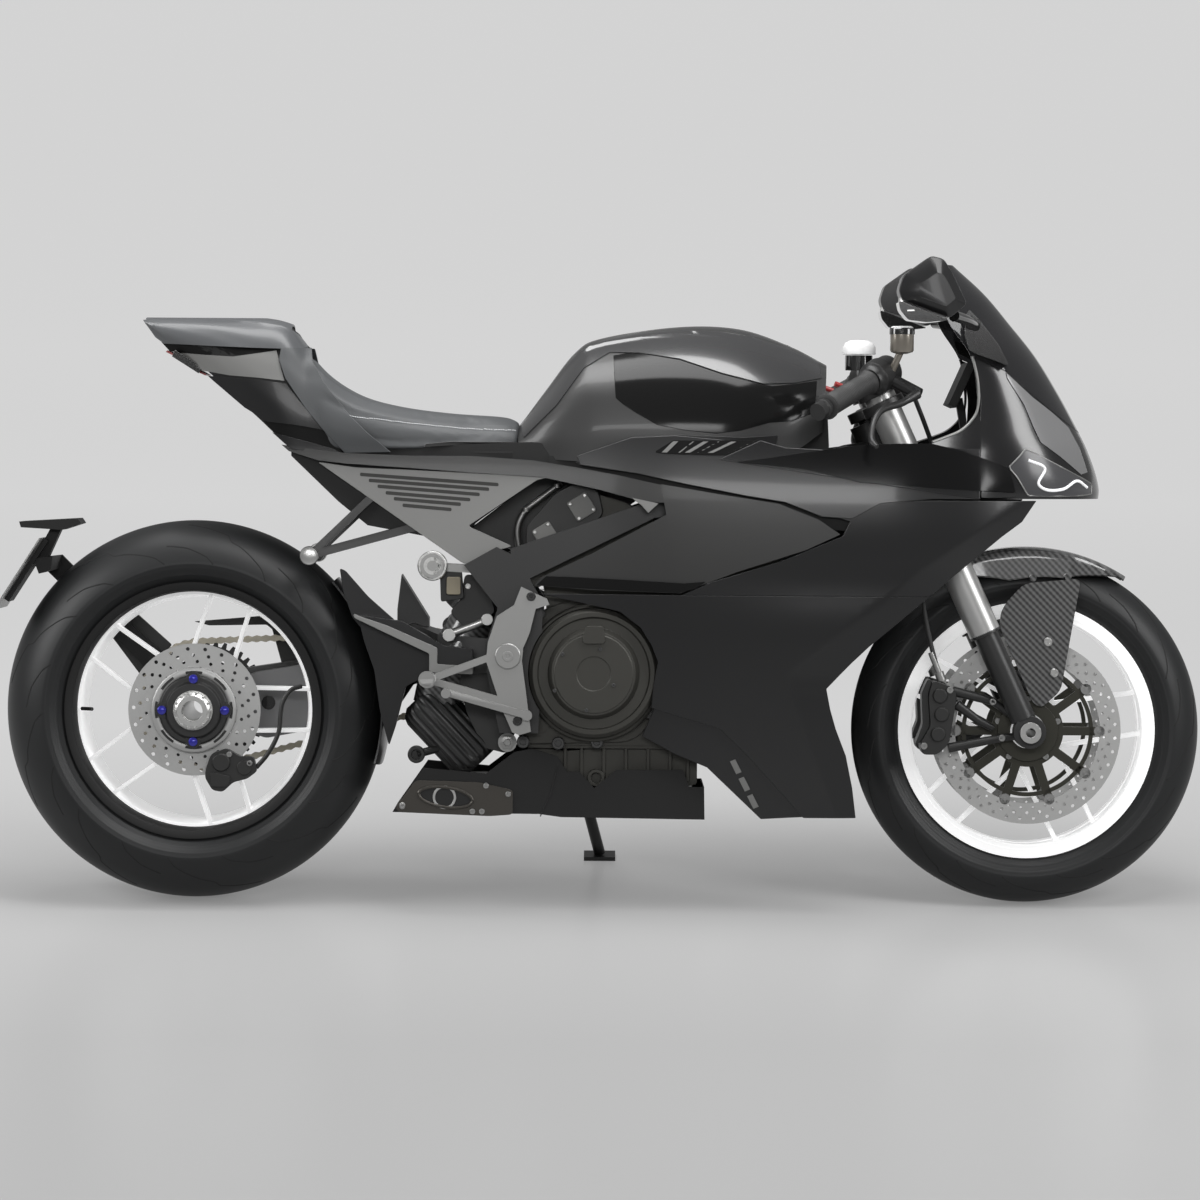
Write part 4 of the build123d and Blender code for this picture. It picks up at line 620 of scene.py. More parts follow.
# dark strip behind the seam along the shoulder's lower edge
LINER = [(608, 768, 612, 742), (656, 772, 664, 738), (749, 792, 760, 722), (824, 794, 840, 704),
         (946, 784, 946, 684), (1010, 772, 1010, 672), (1075, 768, 1072, 648), (1135, 764, 1122, 644),
         (1180, 768, 1170, 670), (1257, 776, 1257, 680), (1340, 772, 1340, 682)]
REAR_LINER = [(166, 794, 176, 772), (260, 786, 264, 762), (374, 784, 374, 752), (477, 788, 477, 744),
              (581, 792, 600, 738), (640, 784, 660, 730)]
POD_CUT = (800, 722, 834, 537)
BAND = [(151, 786, 166, 773), (212, 778, 216, 757), (260, 773, 262, 752), (374, 769, 374, 745),
        (477, 769, 477, 738), (581, 762, 600, 731), (657, 750, 700, 710), (729, 737, 770, 691),
        (800, 722, 806, 689)]
POD_REAR = [(600, 563, 586, 548), (688, 605, 684, 541), (809.6, 670, 834, 537)]
POD_FRONT = [POD_CUT, (895, 706, 932, 575), (999, 690, 1045, 612), (1066, 664, 1103, 639)]
BLADE = [(794, 346, 771, 292), (908, 311, 826, 262), (960, 262, 882, 239), (1058, 155, 975, 150)]
# level, rear x, front x
FAIRING_LOW = [(153, 1047, 1137), (205, 1001, 1130), (261, 950, 1118), (307, 903, 1100), (341, 786, 1090),
               (376, 789, 1083), (420, 797, 1125), (448, 786, 1154), (478, 767, 1190), (505, 731, 1222),
               (521, 657, 1241), (534, 592, 1257)]
FAIRING_HIGH = [(534, 836, 1257), (556, 884, 1283), (593, 1004, 1327), (636, 1107, 1380), (661, 1119, 1415),
                (697, 1010, 1440)]


def level_stations(table):
    """Stations of a panel from rows of level, rear x and front x."""
    return [(x1, z, x0, z) for z, x0, x1 in table]


# ---------------------------------------------------------------- stage
# name, place, aim, width and height in metres, power
LAMPS = [("top_lamp", (650, -500, 2900), (700, 0, 500), 3.4, 1.0, 88),
         ("rear_lamp", (-1900, -900, 1500), (300, 0, 600), 0.8, 1.6, 34),
         ("front_lamp", (3300, -1500, 1700), (1100, 0, 500), 0.9, 1.8, 46),
         ("side_lamp", (500, -4600, 1500), (700, 0, 450), 3.0, 0.5, 46)]
# the camera's place and aim, its roll as a slope, and the metres seen across at its aim
EYE, VIEW_MIDDLE, VIEW_ROLL, VIEW_WIDTH = (696.4, -9000.0, 779.2), (698, 0, 519.5), 0.00603, 2.0772
SENSOR = 36.0
# share of the way from 2 m before the motorcycle to 6 m behind it, and the floor's own light there
FLOOR_LIGHT = [(0, 0.17), (0.12, 0.13), (0.25, 0.19), (0.4, 0.36), (0.7, 0.50), (0.98, 0.53)]


class StageOperator(bpy.types.Operator):
    """Sets the studio floor, the soft lamps, the world and the camera."""

    bl_idname = "motorcycle.stage"
    bl_label = "Stage"

    def execute(self, context):
        scene = context.scene
        mesh = bpy.data.meshes.new("studio_floor")
        mesh.from_pydata([(-40, -20, 0), (40, -20, 0), (40, 60, 0), (-40, 60, 0)], [], [(0, 1, 2, 3)])
        mesh.materials.append(floor_material())
        floor = bpy.data.objects.new("studio_floor", mesh)
        scene.collection.objects.link(floor)
        scene.world = bpy.data.worlds.new("studio")
        scene.world.use_nodes = True
        sky = scene.world.node_tree.nodes["Background"].inputs
        sky["Color"].default_value = (1, 1, 1, 1)
        sky["Strength"].default_value = 0.24
        for row in LAMPS:
            self.lamp(scene, *row)
        self.camera(scene)
        scene.view_settings.view_transform = "Standard"
        return {"FINISHED"}

    def lamp(self, scene, name, at, aim, wide, tall, power):
        """Soft rectangular lamp at a place in the motorcycle's frame, turned to its aim."""
        data = bpy.data.lights.new(name, "AREA")
        data.shape, data.size, data.size_y, data.energy = "RECTANGLE", wide, tall, power
        obj = bpy.data.objects.new(name, data)
        scene.collection.objects.link(obj)
        start, end = Vector(place(at)), Vector(place(aim))
        obj.location = start
        obj.rotation_euler = (end - start).to_track_quat("-Z", "Y").to_euler()

    def camera(self, scene):
        """Camera far to the right, whose lens shows the view's width at the middle of the motorcycle."""
        data = bpy.data.cameras.new("camera")
        camera = bpy.data.objects.new("camera", data)
        scene.collection.objects.link(camera)
        scene.camera = camera
        eye = place(EYE)
        back = eye - place(VIEW_MIDDLE)
        distance = float(np.linalg.norm(back))
        back /= distance
        right = np.cross(UP - VIEW_ROLL * AHEAD, back)
        right /= np.linalg.norm(right)
        turn = np.column_stack((right, np.cross(back, right), back, eye))
        camera.matrix_world = Matrix((*turn.tolist(), (0, 0, 0, 1)))
        data.sensor_width = SENSOR
        data.lens = SENSOR * distance / VIEW_WIDTH
        data.clip_end = 200.0


def floor_material():
    """Pale floor that takes shadows and a blurred likeness of the motorcycle; its own light is there for the
    camera, reflections and glass alone, lighter far behind than in front."""
    m = bpy.data.materials.new("studio_floor")
    m.use_nodes = True
    tree = m.node_tree
    shader = tree.nodes["Principled BSDF"].inputs
    where = add(tree, "ShaderNodeTexCoord").outputs["Object"]
    parts = add(tree, "ShaderNodeSeparateXYZ", {"Vector": where})
    far = add(tree, "ShaderNodeMapRange", {"Value": parts.outputs["Y"], "From Min": -2.0, "From Max": 6.0})
    ramp = add(tree, "ShaderNodeValToRGB", {"Fac": far.outputs[0]})
    for at, light in FLOOR_LIGHT:
        element = ramp.color_ramp.elements[0] if at == 0 else ramp.color_ramp.elements.new(at)
        element.color = (light, light, light, 1)
    ramp.color_ramp.elements.remove(ramp.color_ramp.elements[-1])
    rays = add(tree, "ShaderNodeLightPath").outputs
    seen = calculate(tree, "MAXIMUM", rays["Is Camera Ray"], rays["Is Glossy Ray"])
    tree.links.new(ramp.outputs["Color"], shader["Emission Color"])
    tree.links.new(calculate(tree, "MAXIMUM", seen, rays["Is Transmission Ray"]), shader["Emission Strength"])
    shader["Base Color"].default_value = (*bpy.context.scene.motorcycle_colours.floor, 1)
    shader["Roughness"].default_value = 0.3
    shader["Specular IOR Level"].default_value = 0.25
    return m


# ---------------------------------------------------------------- wheels
# end, axle, radius, half width, radius of the crown, half width between the bead seats
TYRES = (("rear", REAR, 326.0, 100.0, 105.0, 80.0), ("front", FRONT, 300.0, 60.0, 62.0, 48.0))
BEAD_R, FLANGE_R = 216.3, 221.0
# one repeat of the tread: angle in shares of the repeat, place across as a share of the half crown
GROOVES = [
    [(0.02, 0.98), (0.10, 0.86), (0.34, 0.66), (0.44, 0.60), (0.47, 0.50), (0.80, 0.30)],
    [(0.55, 0.99), (0.62, 0.90), (0.80, 0.78), (0.98, 0.72)],
]
REPEATS = 9


class TyresOperator(bpy.types.Operator):
    """Makes both tyres with their crowns, side walls, rings and grooves."""

    bl_idname = "motorcycle.tyres"
    bl_label = "Tyres"

    def execute(self, context):
        for end, axle, radius, half, crown, rim_half in TYRES:
            tyre = turned(tyre_profile(radius, half, crown, rim_half), axle, steps=220)
            body = end + "_wheel"
            piece(end + "_tyre_piece", "tyre_rubber", tyre, body=body, replaces=[end + "_tyre"], sharp=50)
            piece(end + "_tread_grooves", "groove_painted_shade", *grooves(axle, radius, half, crown), body=body,
                  sharp=60)
        return {"FINISHED"}


def tyre_profile(radius, half, crown, rim_half):
    """Closed (y, r) outline: a round crown, a side wall with two raised rings, the bead and the inside."""
    reach = np.arcsin(half / crown)
    a = np.linspace(-reach, reach, 41)
    outer = np.column_stack((crown * np.sin(a), radius - crown + crown * np.cos(a)))
    shoulder = outer[-1, 1]
    lip = rim_half - 6.3
    t = np.linspace(0, 1, 15)[1:]
    side_y = half + (lip + 5 - half) * t ** 1.6
    side_r = shoulder + (FLANGE_R + 5 - shoulder) * t
    side_y = side_y + 0.9 * (np.abs(t - 0.28) < 0.05) + 0.8 * (np.abs(t - 0.72) < 0.05)
    right = np.column_stack((side_y, side_r))
    foot = np.array([(lip, FLANGE_R), (lip, BEAD_R), (lip - 14, BEAD_R), (lip - 10, BEAD_R + 16)])
    flip = np.array((-1.0, 1.0))
    inner = np.column_stack(((crown - 9) * np.sin(a[::-2]), radius - crown + (crown - 9) * np.cos(a[::-2])))
    return np.vstack((outer, right, foot, inner, (foot * flip)[::-1], (right * flip)[::-1]))


def grooves(axle, radius, half, crown):
    """Fine grooves of the tread: narrow near-black strips a hair above the crown, painted shade in place of cut
    grooves, their sides square to their run.
    """
    reach = np.arcsin(half / crown)
    for k in range(REPEATS):
        for sign in (1, -1):
            for line in GROOVES:
                p = along(line, 26)
                turn = (p[:, 0] + k + (0.5 if sign < 0 else 0)) * 2 * pi / REPEATS
                lean = sign * p[:, 1] * reach
                run = np.gradient(np.column_stack((turn * radius, lean * crown)), axis=0)
                run /= np.linalg.norm(run, axis=1)[:, None]
                strip = []
                for side in (-1.1, 1.1):
                    t = turn - run[:, 1] * side / radius
                    lean_at = lean + run[:, 0] * side / crown
                    r = radius - crown + (crown + 0.25) * np.cos(lean_at)
                    strip.append(np.column_stack((axle[0] + r * np.cos(t), (crown + 0.25) * np.sin(lean_at),
                                                  axle[2] + r * np.sin(t))))
                outer = np.stack(strip, 1)
                yield wall(outer, outer + (np.array(axle) - outer) * 0.004)


BARREL = [(-80, 221), (-74, 221), (-74, 216), (-60, 216), (-48, 209), (48, 209), (60, 216), (74, 216),
          (74, 221), (80, 221), (80, 213), (36, 205), (30, 203), (-60, 204), (-76, 207), (-80, 213)]
REAR_RING = [(-26, 203.4), (-24, 198), (33, 192), (76, 192), (79.5, 205), (79.5, 212.8), (36, 204.8)]
REAR_HUB = [(-61, 35), (-61, 52), (-54, 58), (-40, 60), (-30, 52), (8, 52), (14, 58), (30, 58), (30, 35)]
FRONT_RING = [(-47.5, 219), (-47.5, 199), (-44, 197), (-30, 199), (-30, 206)]
FRONT_HUB = [(-56, 30), (-56, 44), (-40, 47), (-34, 44), (34, 44), (40, 47), (56, 44), (56, 30)]
# ends of a spoke of a pair: distance from the axle and from the pair's line
SPOKE_ENDS = [(50.0, 38.0), (199.0, 35.5)]


class RimsOperator(bpy.types.Operator):
    """Makes the rims: white rings and five pairs of thin spokes, a dark rear barrel, the hubs and the valve."""

    bl_idname = "motorcycle.rims"
    bl_label = "Rims"

    def execute(self, context):
        # the white rim pieces carry a painted glow from their emission
        polished("front_rim", "wheel_white", "white_wheel", "front_wheel", edge=0.6, sharp=30)
        on_front_wheel("front_rim_rings", "wheel_white", both(turned(FRONT_RING, FRONT, steps=128)), sharp=35,
                       edge=0.8)
        on_front_wheel("front_hub_sleeve", "dark_metal", turned(FRONT_HUB, FRONT), sharp=40, edge=0.5)
        on_rear_wheel("rear_rim_barrel", "matte_black", turned(BARREL, REAR, steps=128),
                      replaces=["rear_rim"], sharp=35, edge=0.6, slot="white_wheel")
        on_rear_wheel("rear_rim_ring", "wheel_white", turned(REAR_RING, REAR, steps=128), sharp=35, edge=0.6)
        on_rear_wheel("rear_spokes", "wheel_white", *self.spokes(), edge=1.4)
        on_rear_wheel("rear_hub_barrel", "dark_metal", turned(REAR_HUB, REAR), edge=0.8)
        valve = along([(-196, -30, REAR_Z), (-186, -34, REAR_Z), (-176, -46, REAR_Z)], 8)
        on_rear_wheel("rear_valve", "rubber", tube(valve, 3.2))
        return {"FINISHED"}

    def spokes(self):
        """Flat blades from the hub to the barrel, each turned with its pair."""
        for pair in range(5):
            a = pair * 2 * pi / 5
            turn = np.array([(cos(a), sin(a)), (-sin(a), cos(a))])
            side = np.array((0, 3.4)) @ turn
            for sign in (1, -1):
                line = SPOKE_ENDS * np.array((1, sign)) @ turn
                yield slab(np.vstack((line - side, (line + side)[::-1])) + (0, REAR_Z), -26, 4)


def drilled(rows, r_in, r_out, y, centre, per=24):
    """Drilled disc: rows of (radius, count, hole radius, turn as a share of a step). Each row is a ring of
    cells; in a cell the points run from the hole's circle out to the cell's border in straight lines."""
    radii = [row[0] for row in rows]
    borders = [r_in, *[(a + b) / 2 for a, b in zip(radii, radii[1:])], r_out]
    angle = np.arange(per + 1) / per * 2 * pi
    square = np.column_stack((np.cos(angle), np.sin(angle)))
    square = square / np.abs(square).max(axis=1)[:, None]
    reach = np.linspace(0, 1, 3)[None, None, :, None]
    for (r, count, hole, turn), low, high in zip(rows, borders, borders[1:]):
        step = 2 * pi / count
        middle = (np.arange(count) + turn) * step
        border = np.stack((np.broadcast_to(middle[:, None] + square[:, 0] * step / 2, (count, per + 1)),
                           np.broadcast_to(np.where(square[:, 1] > 0, r + square[:, 1] * (high - r),
                                                    r + square[:, 1] * (r - low)), (count, per + 1))), -1)
        edge_at = np.stack((border[..., 1] * np.cos(border[..., 0]), border[..., 1] * np.sin(border[..., 0])),
                           -1)
        c = np.stack((r * np.cos(middle), r * np.sin(middle)), -1)[:, None]
        way = edge_at - c
        rim_at = c + way / np.linalg.norm(way, axis=-1, keepdims=True) * hole
        grid = rim_at[:, :, None] * (1 - reach) + edge_at[:, :, None] * reach
        for cell in grid:
            verts = np.stack((cell[..., 0] + centre[0], np.full(cell.shape[:2], y), cell[..., 1] + centre[2]),
                             -1)
            yield verts, quads(np.arange(verts.shape[0] * 3).reshape(-1, 3))


def disc(name, node, body, *shapes, thick=5.0):
    """Flat drilled surface given its thickness."""
    obj = piece(name, "disc_steel", *shapes, body=body, replaces=[node], sharp=30)
    obj.data.shade_flat()
    solid = obj.modifiers.new("thickness", "SOLIDIFY")
    solid.thickness = thick * MM
    solid.offset = 0.0


REAR_HOLES = [(72, 22, 2.2, 0.0), (83, 22, 2.9, 0.3), (94, 22, 3.1, 0.6), (105, 22, 3.3, 0.9)]
FRONT_HOLES = [(132, 40, 2.0, 0.5), (141, 40, 3.0, 0.0), (151, 40, 3.0, 0.5)]
BOBBIN = [(-5, 3), (-5, 9.2), (-3.4, 10), (3.4, 10), (5, 9.2), (5, 3)]
FLANGE = [(-71, 32), (-71, 46), (-66, 50), (-66, 57), (-63, 60), (-50, 60), (-50, 32)]
DISC_RING = [(-56, 58), (-58, 61), (-58, 70), (-56, 73), (-36, 73), (-36, 58)]
HUB_PIN = [(-9, 0.01), (-9, 4), (-7, 7.5), (6, 8.5), (6, 0.01)]
NUT = [(-96, 18), (-96, 26), (-92, 31), (-73, 31), (-73, 18)]
SPINDLE = band(-78, 168, 17, 34)
SPROCKET_CARRIER = [(149, 34), (149, 60), (156, 62), (159, 62), (159, 34)]
COLLAR = [(-44, 60), (-44, 66), (-34, 68), (-34, 60)]


class DiscsOperator(bpy.types.Operator):
    """Makes the drilled discs, the front discs' floating bobbins and the rear hub's pins and nut."""

    bl_idname = "motorcycle.discs"
    bl_label = "Brake discs"

    def execute(self, context):
        disc("rear_disc_drilled", "rear_disc", "rear_wheel", *drilled(REAR_HOLES, 64, 114, -40.5, REAR))
        disc("front_discs_drilled", "front_discs", "front_wheel",
             both(*drilled(FRONT_HOLES, 124.5, 160, -68.5, FRONT)))
        bobbins = []
        for x, z in around(FRONT, 123.5, 10):
            bobbins += [turned(BOBBIN, (x, -66, z), steps=20), rod((x, -72.5, z), (x, -60, z), 3.2, steps=12)]
        on_front_wheel("disc_bobbins", "brushed_alloy", both(*bobbins), sharp=40)
        on_front_wheel("carrier_bolts", "brushed_alloy", both(bolts(around(FRONT, 54, 5, 0.25), -72.0, 5.5)),
                       sharp=40)
        self.rear_centre()
        return {"FINISHED"}

    def rear_centre(self):
        """Flange with its four blue pins, the castle nut and the bright hollow spindle."""
        on_rear_wheel("rear_flange", "dark_metal", turned(FLANGE, REAR), replaces=["rear_hub"], edge=0.8)
        on_rear_wheel("rear_disc_ring", "disc_steel", turned(DISC_RING, REAR), sharp=35, edge=0.5)
        on_rear_wheel("rear_flange_lobes", "dark_metal", *self.slots(),
                      *(rod((x, -67.5, z), (x, -50, z), 13) for x, z in around(REAR, 53, 4)),
                      sharp=35, edge=0.4)
        on_rear_wheel("rear_hub_pins", "blue_pins",
                      *(turned(HUB_PIN, (x, -66, z), steps=20, closed=False) for x, z in around(REAR, 54, 4)))
        on_rear_wheel("rear_spindle", "bright_steel", turned(NUT, REAR, steps=48),
                      turned(SPINDLE, REAR, steps=64),
                      *(rod((x, -95, z), (x, -75, z), 2.6, steps=8) for x, z in around(REAR, 29.5, 14)),
                      sharp=40, edge=0.4)
        on_rear_wheel("sprocket_carrier", "dark_metal", turned(SPROCKET_CARRIER, REAR), slot="dark_steel")
        stud = [(-3.5, 0.01), (-3.5, 5), (3.5, 5), (3.5, 0.01)]
        studs = [turned(stud, (x, -40, z), steps=14, closed=False) for x, z in around(REAR, 64.5, 8, 0.5)]
        on_rear_wheel("rear_disc_collar", "dark_metal", turned(COLLAR, REAR), *studs)

    def slots(self):
        """Eight curved dark slots: arcs of 0.44 turned an eighth of a turn each."""
        turn = np.linspace(-0.22, 0.22, 9)
        for k in range(8):
            a = k * pi / 4 + turn
            yield slab(np.vstack([np.column_stack((r * np.cos(a), r * np.sin(a)))[::way]
                                  for r, way in ((63.0, 1), (67.5, -1))]) + (0, REAR_Z), -58.6, -57)


# ---------------------------------------------------------------- side panels
# patch behind the grips, which closes the view through the fairing
FILLER = [(950, 770), (960, 872), (1040, 884), (1086, 862), (1090, 780)]


class PanelsOperator(bpy.types.Operator):
    """Makes the side fairings, the shoulders, the band with its pod and the lower blades."""

    bl_idname = "motorcycle.panels"
    bl_label = "Side panels"

    def execute(self, context):
        sizes = context.scene.motorcycle_sizes
        seam, edge = mm(sizes.seam), mm(sizes.edge)
        fairing = [panel(level_stations(rows), per=5, across=40, half=fairing_half)
                   for rows in (FAIRING_LOW, FAIRING_HIGH)]
        piece("side_fairing_panels", "satin_body", both(*fairing, panel(BLADE, inset=5)),
              replaces=["side_fairings"], edge=edge)
        piece("shoulder_panels", "shoulder_gloss", both(panel(trimmed(SHOULDER, seam), inset=-1)),
              replaces=["shoulder_fairings"], edge=edge)
        piece("upper_shoulder_panels", "glossier_body", both(panel(UPPER_SHOULDER, inset=-3, across=12)),
              edge=edge)
        piece("fairing_liners", "matte_black", both(panel(LINER, inset=16, across=6),
                                                    panel(REAR_LINER, inset=18, across=4)),
              *(slab(rounded(FILLER, 8), y, y + 8) for y in (-64, 56)), slot="fairing_black")
        piece("band_and_pod_covers", "cover_paint", both(panel(trimmed(BAND, seam), inset=3, across=6),
                                                         panel(POD_REAR, inset=3), panel(POD_FRONT, inset=3)),
              replaces=["frame_covers"], edge=edge)
        # the vents and the strip along the pod's lower edge are near-black sheets: painted shade
        piece("vents_and_bevels", "painted_shade_black", both(panel(VENT, inset=-2.4), panel(POD_BEVEL, inset=-0.6)),
              edge=0.6)
        piece("vent_bars", "plate_silver", both(panel(WINDOW_EDGE, inset=1.5), *self.bars()), edge=0.4)
        return {"FINISHED"}

    def bars(self):
        """Bright ends of the vents' bars, each of its own width, and three ticks on the lower blade."""
        for top_rear, top_front, low_front, low_rear in VENT_BARS:
            yield panel([(top_rear, 794.5, low_rear, 775.5), (top_rear + 9, 794.5, low_rear + 9, 775.5)],
                        inset=-3.0, thick=3, per=2, across=4)
            yield panel([(top_front - 3, 794.5, low_front - 3, 775.5), (top_front, 794.5, low_front, 775.5)],
                        inset=-2.4, thick=3, per=2, across=4)
        for k in range(3):
            x, z = 930 + 15 * k, 254 - 30 * k
            yield panel([(x, z, x - 9, z - 4), (x + 11, z - 22, x + 2, z - 26)], inset=3.4, thick=3, per=3,
                        across=4)


# ---------------------------------------------------------------- nose
# level, rear x, front x and half width at the rear edge, of the cowl and the screen above it
COWL = [(700, 1342, 1558, 172), (716, 1342, 1559, 176), (784, 1342, 1538, 176), (829, 1342, 1515, 168),
        (878, 1342, 1488, 158), (945, 1324, 1446, 146), (997, 1290, 1404, 128), (1051, 1272, 1358, 98),
        (1100, 1286, 1304, 40)]
COWL_LOW, SCREEN_TOP = 700.0, 1100.0
# share of the way forwards, level of the crease between the cowl and the screen
CREASE = [(0, 942), (0.38, 918), (0.63, 875), (0.92, 825), (1, 812)]
COWL_RIM = [(1258, 796), (1283, 805), (1308, 816), (1325, 831), (1336, 849), (1338, 896), (1329, 942)]
COWL_WING = [(1258, 796, 1258, 780), (1283, 805, 1283, 779), (1308, 816, 1308, 778), (1325, 831, 1322, 778),
             (1336, 849, 1332, 778), (1338, 896, 1341, 778), (1329, 942, 1348, 778)]
# light facet on each side of the cowl: its pale grey is a painted reflection
NOSE_BLADE = [(1387, 915, 1389, 905), (1434, 873, 1418, 860), (1470, 847, 1434, 822), (1500, 822, 1446, 797),
              (1519, 788, 1482, 772), (1533, 746, 1520, 742)]
# between the body and the cowl, over the lamps: a bright band and the black one below it
NOSE_SIDE = [(930, 761, 930, 759), (985, 768, 985, 755), (1042, 777, 1042, 749), (1090, 784, 1090, 738),
             (1136, 790, 1136, 727), (1206, 793, 1206, 723), (1258, 793, 1258, 719), (1310, 781, 1310, 716),
             (1342, 770, 1342, 714), (1391, 753, 1402, 711)]
NOSE_LOW = [(1342.5, 713.5, 1342.5, 702), (1370, 712, 1370, 702), (1401, 710.5, 1404, 703)]
LENS = [(1391, 755, 1393, 750), (1406, 770, 1404, 738), (1419, 785, 1414, 722), (1430, 781, 1424, 706),
        (1486, 753, 1480, 705), (1525, 734, 1520, 706), (1540, 726, 1540, 709)]
LAMP_STRIP = [(1424, 766), (1453, 752), (1442, 726), (1453, 717), (1486, 717), (1512, 731), (1531, 720)]
MIRROR_SHELL = [(1200, 1073), (1246, 1106), (1267, 1101), (1281, 1080), (1307, 1026), (1278, 1002),
                (1198, 1031), (1192, 1048)]
MIRROR_FACET = [(1192, 1030), (1202, 1028), (1276, 999), (1239, 995), (1208, 999), (1195, 1015)]
SCREEN_STAY = [(1315, 975), (1316, 1012), (1322, 1022), (1338, 1005), (1372, 962), (1390, 926), (1340, 944),
               (1322, 952)]
MIRROR_TICK = [(1206, 1013), (1219, 1013.5), (1218, 1016), (1207, 1015.5)]
MIRROR_GLASS = [(1195, 1024), (1199, 1066), (1203, 1066), (1199, 1024)]
MIRROR_STALK = [(1290, -250, 1008), (1314, -204, 1002), (1334, -154, 992)]


def cowl_row(z):
    """Rear x, front x and half width of the cowl at levels z."""
    rows = through(COWL, z)
    return rows[..., 0], rows[..., 1], rows[..., 2]


def cowl_half(x, z):
    """Half width of the cowl at points of the side view: half * cos a, where sin a is the share of the way
    from its rear to its front edge."""
    x0, x1, half = cowl_row(z)
    share = np.clip((x - x0) / (x1 - x0), 0, 1)
    return half * np.sqrt(1 - share * share)


def wing_half(x, z):
    """Half width behind the cowl: from the body's to the cowl's own along 84 mm."""
    share = np.clip((x - 1258) / 84.0, 0, 1)
    return body_half(x, z) * (1 - share) + cowl_row(z)[2] * share


def nose_half(x, z):
    """Half width over the fairing's front edge: the body's, and in front of it the cowl's with the step
    between the two dying out along 70 mm."""
    step = body_half(1342.0 + 0 * x, z) - cowl_half(1342.0 + 0 * x, z)
    return np.where(x < 1342, body_half(x, z), cowl_half(np.maximum(x, 1342), z)
                    + step * np.clip(1 - (x - 1342) / 70.0, 0, 1) ** 2)


def hood(low, high, shrink=0.0, turns=40, rows=30):
    """Surface round the nose between two levels given for each turn a: x = rear + (front - rear) sin a,
    y = half cos a, read at levels spaced evenly between the two."""
    a = np.linspace(0, pi, turns * 2 + 1)[None, :]
    share = np.linspace(0, 1, rows)[:, None]
    crease = np.interp(np.sin(a), *np.array(CREASE, float).T)
    z = (crease if low is None else low) * (1 - share) + (crease if high is None else high) * share
    x0, x1, half = cowl_row(z)
    return np.stack((x0 + (x1 - shrink - x0) * np.sin(a), -(half - shrink) * np.cos(a), z), -1)


def on_cowl(points, out):
    """Side-view points put on the right side of the cowl, raised by out."""
    p = np.asarray(points, float)
    return np.column_stack((p[:, 0], -cowl_half(p[:, 0], p[:, 1]) - out, p[:, 1]))


class NoseOperator(bpy.types.Operator):
    """Makes the nose cowl, the smoked screen, the lamps and the mirrors."""

    bl_idname = "motorcycle.nose"
    bl_label = "Nose"

    def execute(self, context):
        edge = mm(context.scene.motorcycle_sizes.edge)
        skin = hood(COWL_LOW, None)
        inwards = np.column_stack((np.ones(9), np.linspace(1, 0, 9), np.ones(9)))
        floor = skin[0][None] * inwards[:, None] + (0, 0, 2)
        piece("nose_cowl_piece", "glossier_body", wall(skin, hood(COWL_LOW, None, 4.0)),
              wall(floor, floor + (0, 0, 3)), replaces=["nose_cowl"], edge=edge, sharp=40)
        rim = np.array(COWL_RIM, float)
        rim = np.column_stack((rim[:, 0], -wing_half(rim[:, 0], rim[:, 1]) - 1, rim[:, 1]))
        piece("nose_rims", "plate_silver", both(tube(along(rim, 50, smooth=True), 2.4, 10)))
        for name, look, rows, out, half in (
                ("nose_wings", "glossier_body", COWL_WING, -0.5, wing_half),
                ("nose_sides", "deep_gloss", NOSE_SIDE, -5.5, nose_half),
                ("nose_lows", "shoulder_gloss", NOSE_LOW, -1, nose_half),
                ("nose_blades", "blade_painted_sheen", NOSE_BLADE, -1.6, cowl_half)):
            piece(name, look, both(panel(rows, inset=out, half=half)), edge=edge)
        up = (0, 0, 1)
        piece("screen_piece", "smoked_glass", wall(hood(None, SCREEN_TOP) + up,
                                                   hood(None, SCREEN_TOP, 3.0) + up), replaces=["windscreen"],
              edge=0.8)
        self.lamps()
        self.mirrors()
        return {"FINISHED"}

    def lamps(self):
        """Lens, the bright strip that wanders over it and its rim."""
        piece("lamp_lenses", "lamp_lens", both(panel(LENS, inset=-1.0, thick=7, half=cowl_half)),
              replaces=["headlamps"], edge=0.8)
        strip = along(on_cowl(LAMP_STRIP, 1.2), 60, smooth=True)
        piece("lamp_strips", "lamp_white", both(tube(strip, 2.6, 10)))
        border = np.array([row[:2] for row in LENS] + [row[2:] for row in LENS][::-1] + [LENS[0][:2]])
        piece("lamp_rims", "plate_silver", both(tube(along(on_cowl(border, 1.0), 90), 1.4, 8)))

    def mirrors(self):
        """Shells that draw in towards their outer faces, with a facet, a stalk, a stay and the glass."""
        shell, middle = rounded(MIRROR_SHELL, 7), (1262, 0, 1044)
        verts, faces = slab(shell, -338, -321)
        verts[:len(shell)] = (verts[:len(shell)] - middle) * (0.55, 1, 0.55) + middle
        piece("mirror_shells", "satin_body", both(slab(shell, -322, -250), (verts, faces)),
              replaces=["mirrors"], edge=2.5, slot="matte_black")
        stalk = tube(along(MIRROR_STALK, 12, smooth=True), np.linspace(10, 8, 12))
        piece("mirror_facets", "gloss_black", both(slab(rounded(MIRROR_FACET, 4), -330, -248),
                                                   slab(rounded(SCREEN_STAY, 5), -158, -134), stalk),
              edge=2.0)
        piece("mirror_glass", "bright_steel", both(slab(MIRROR_TICK, -330.8, -329)),
              both(slab(rounded(MIRROR_GLASS, 1), -318, -256)))


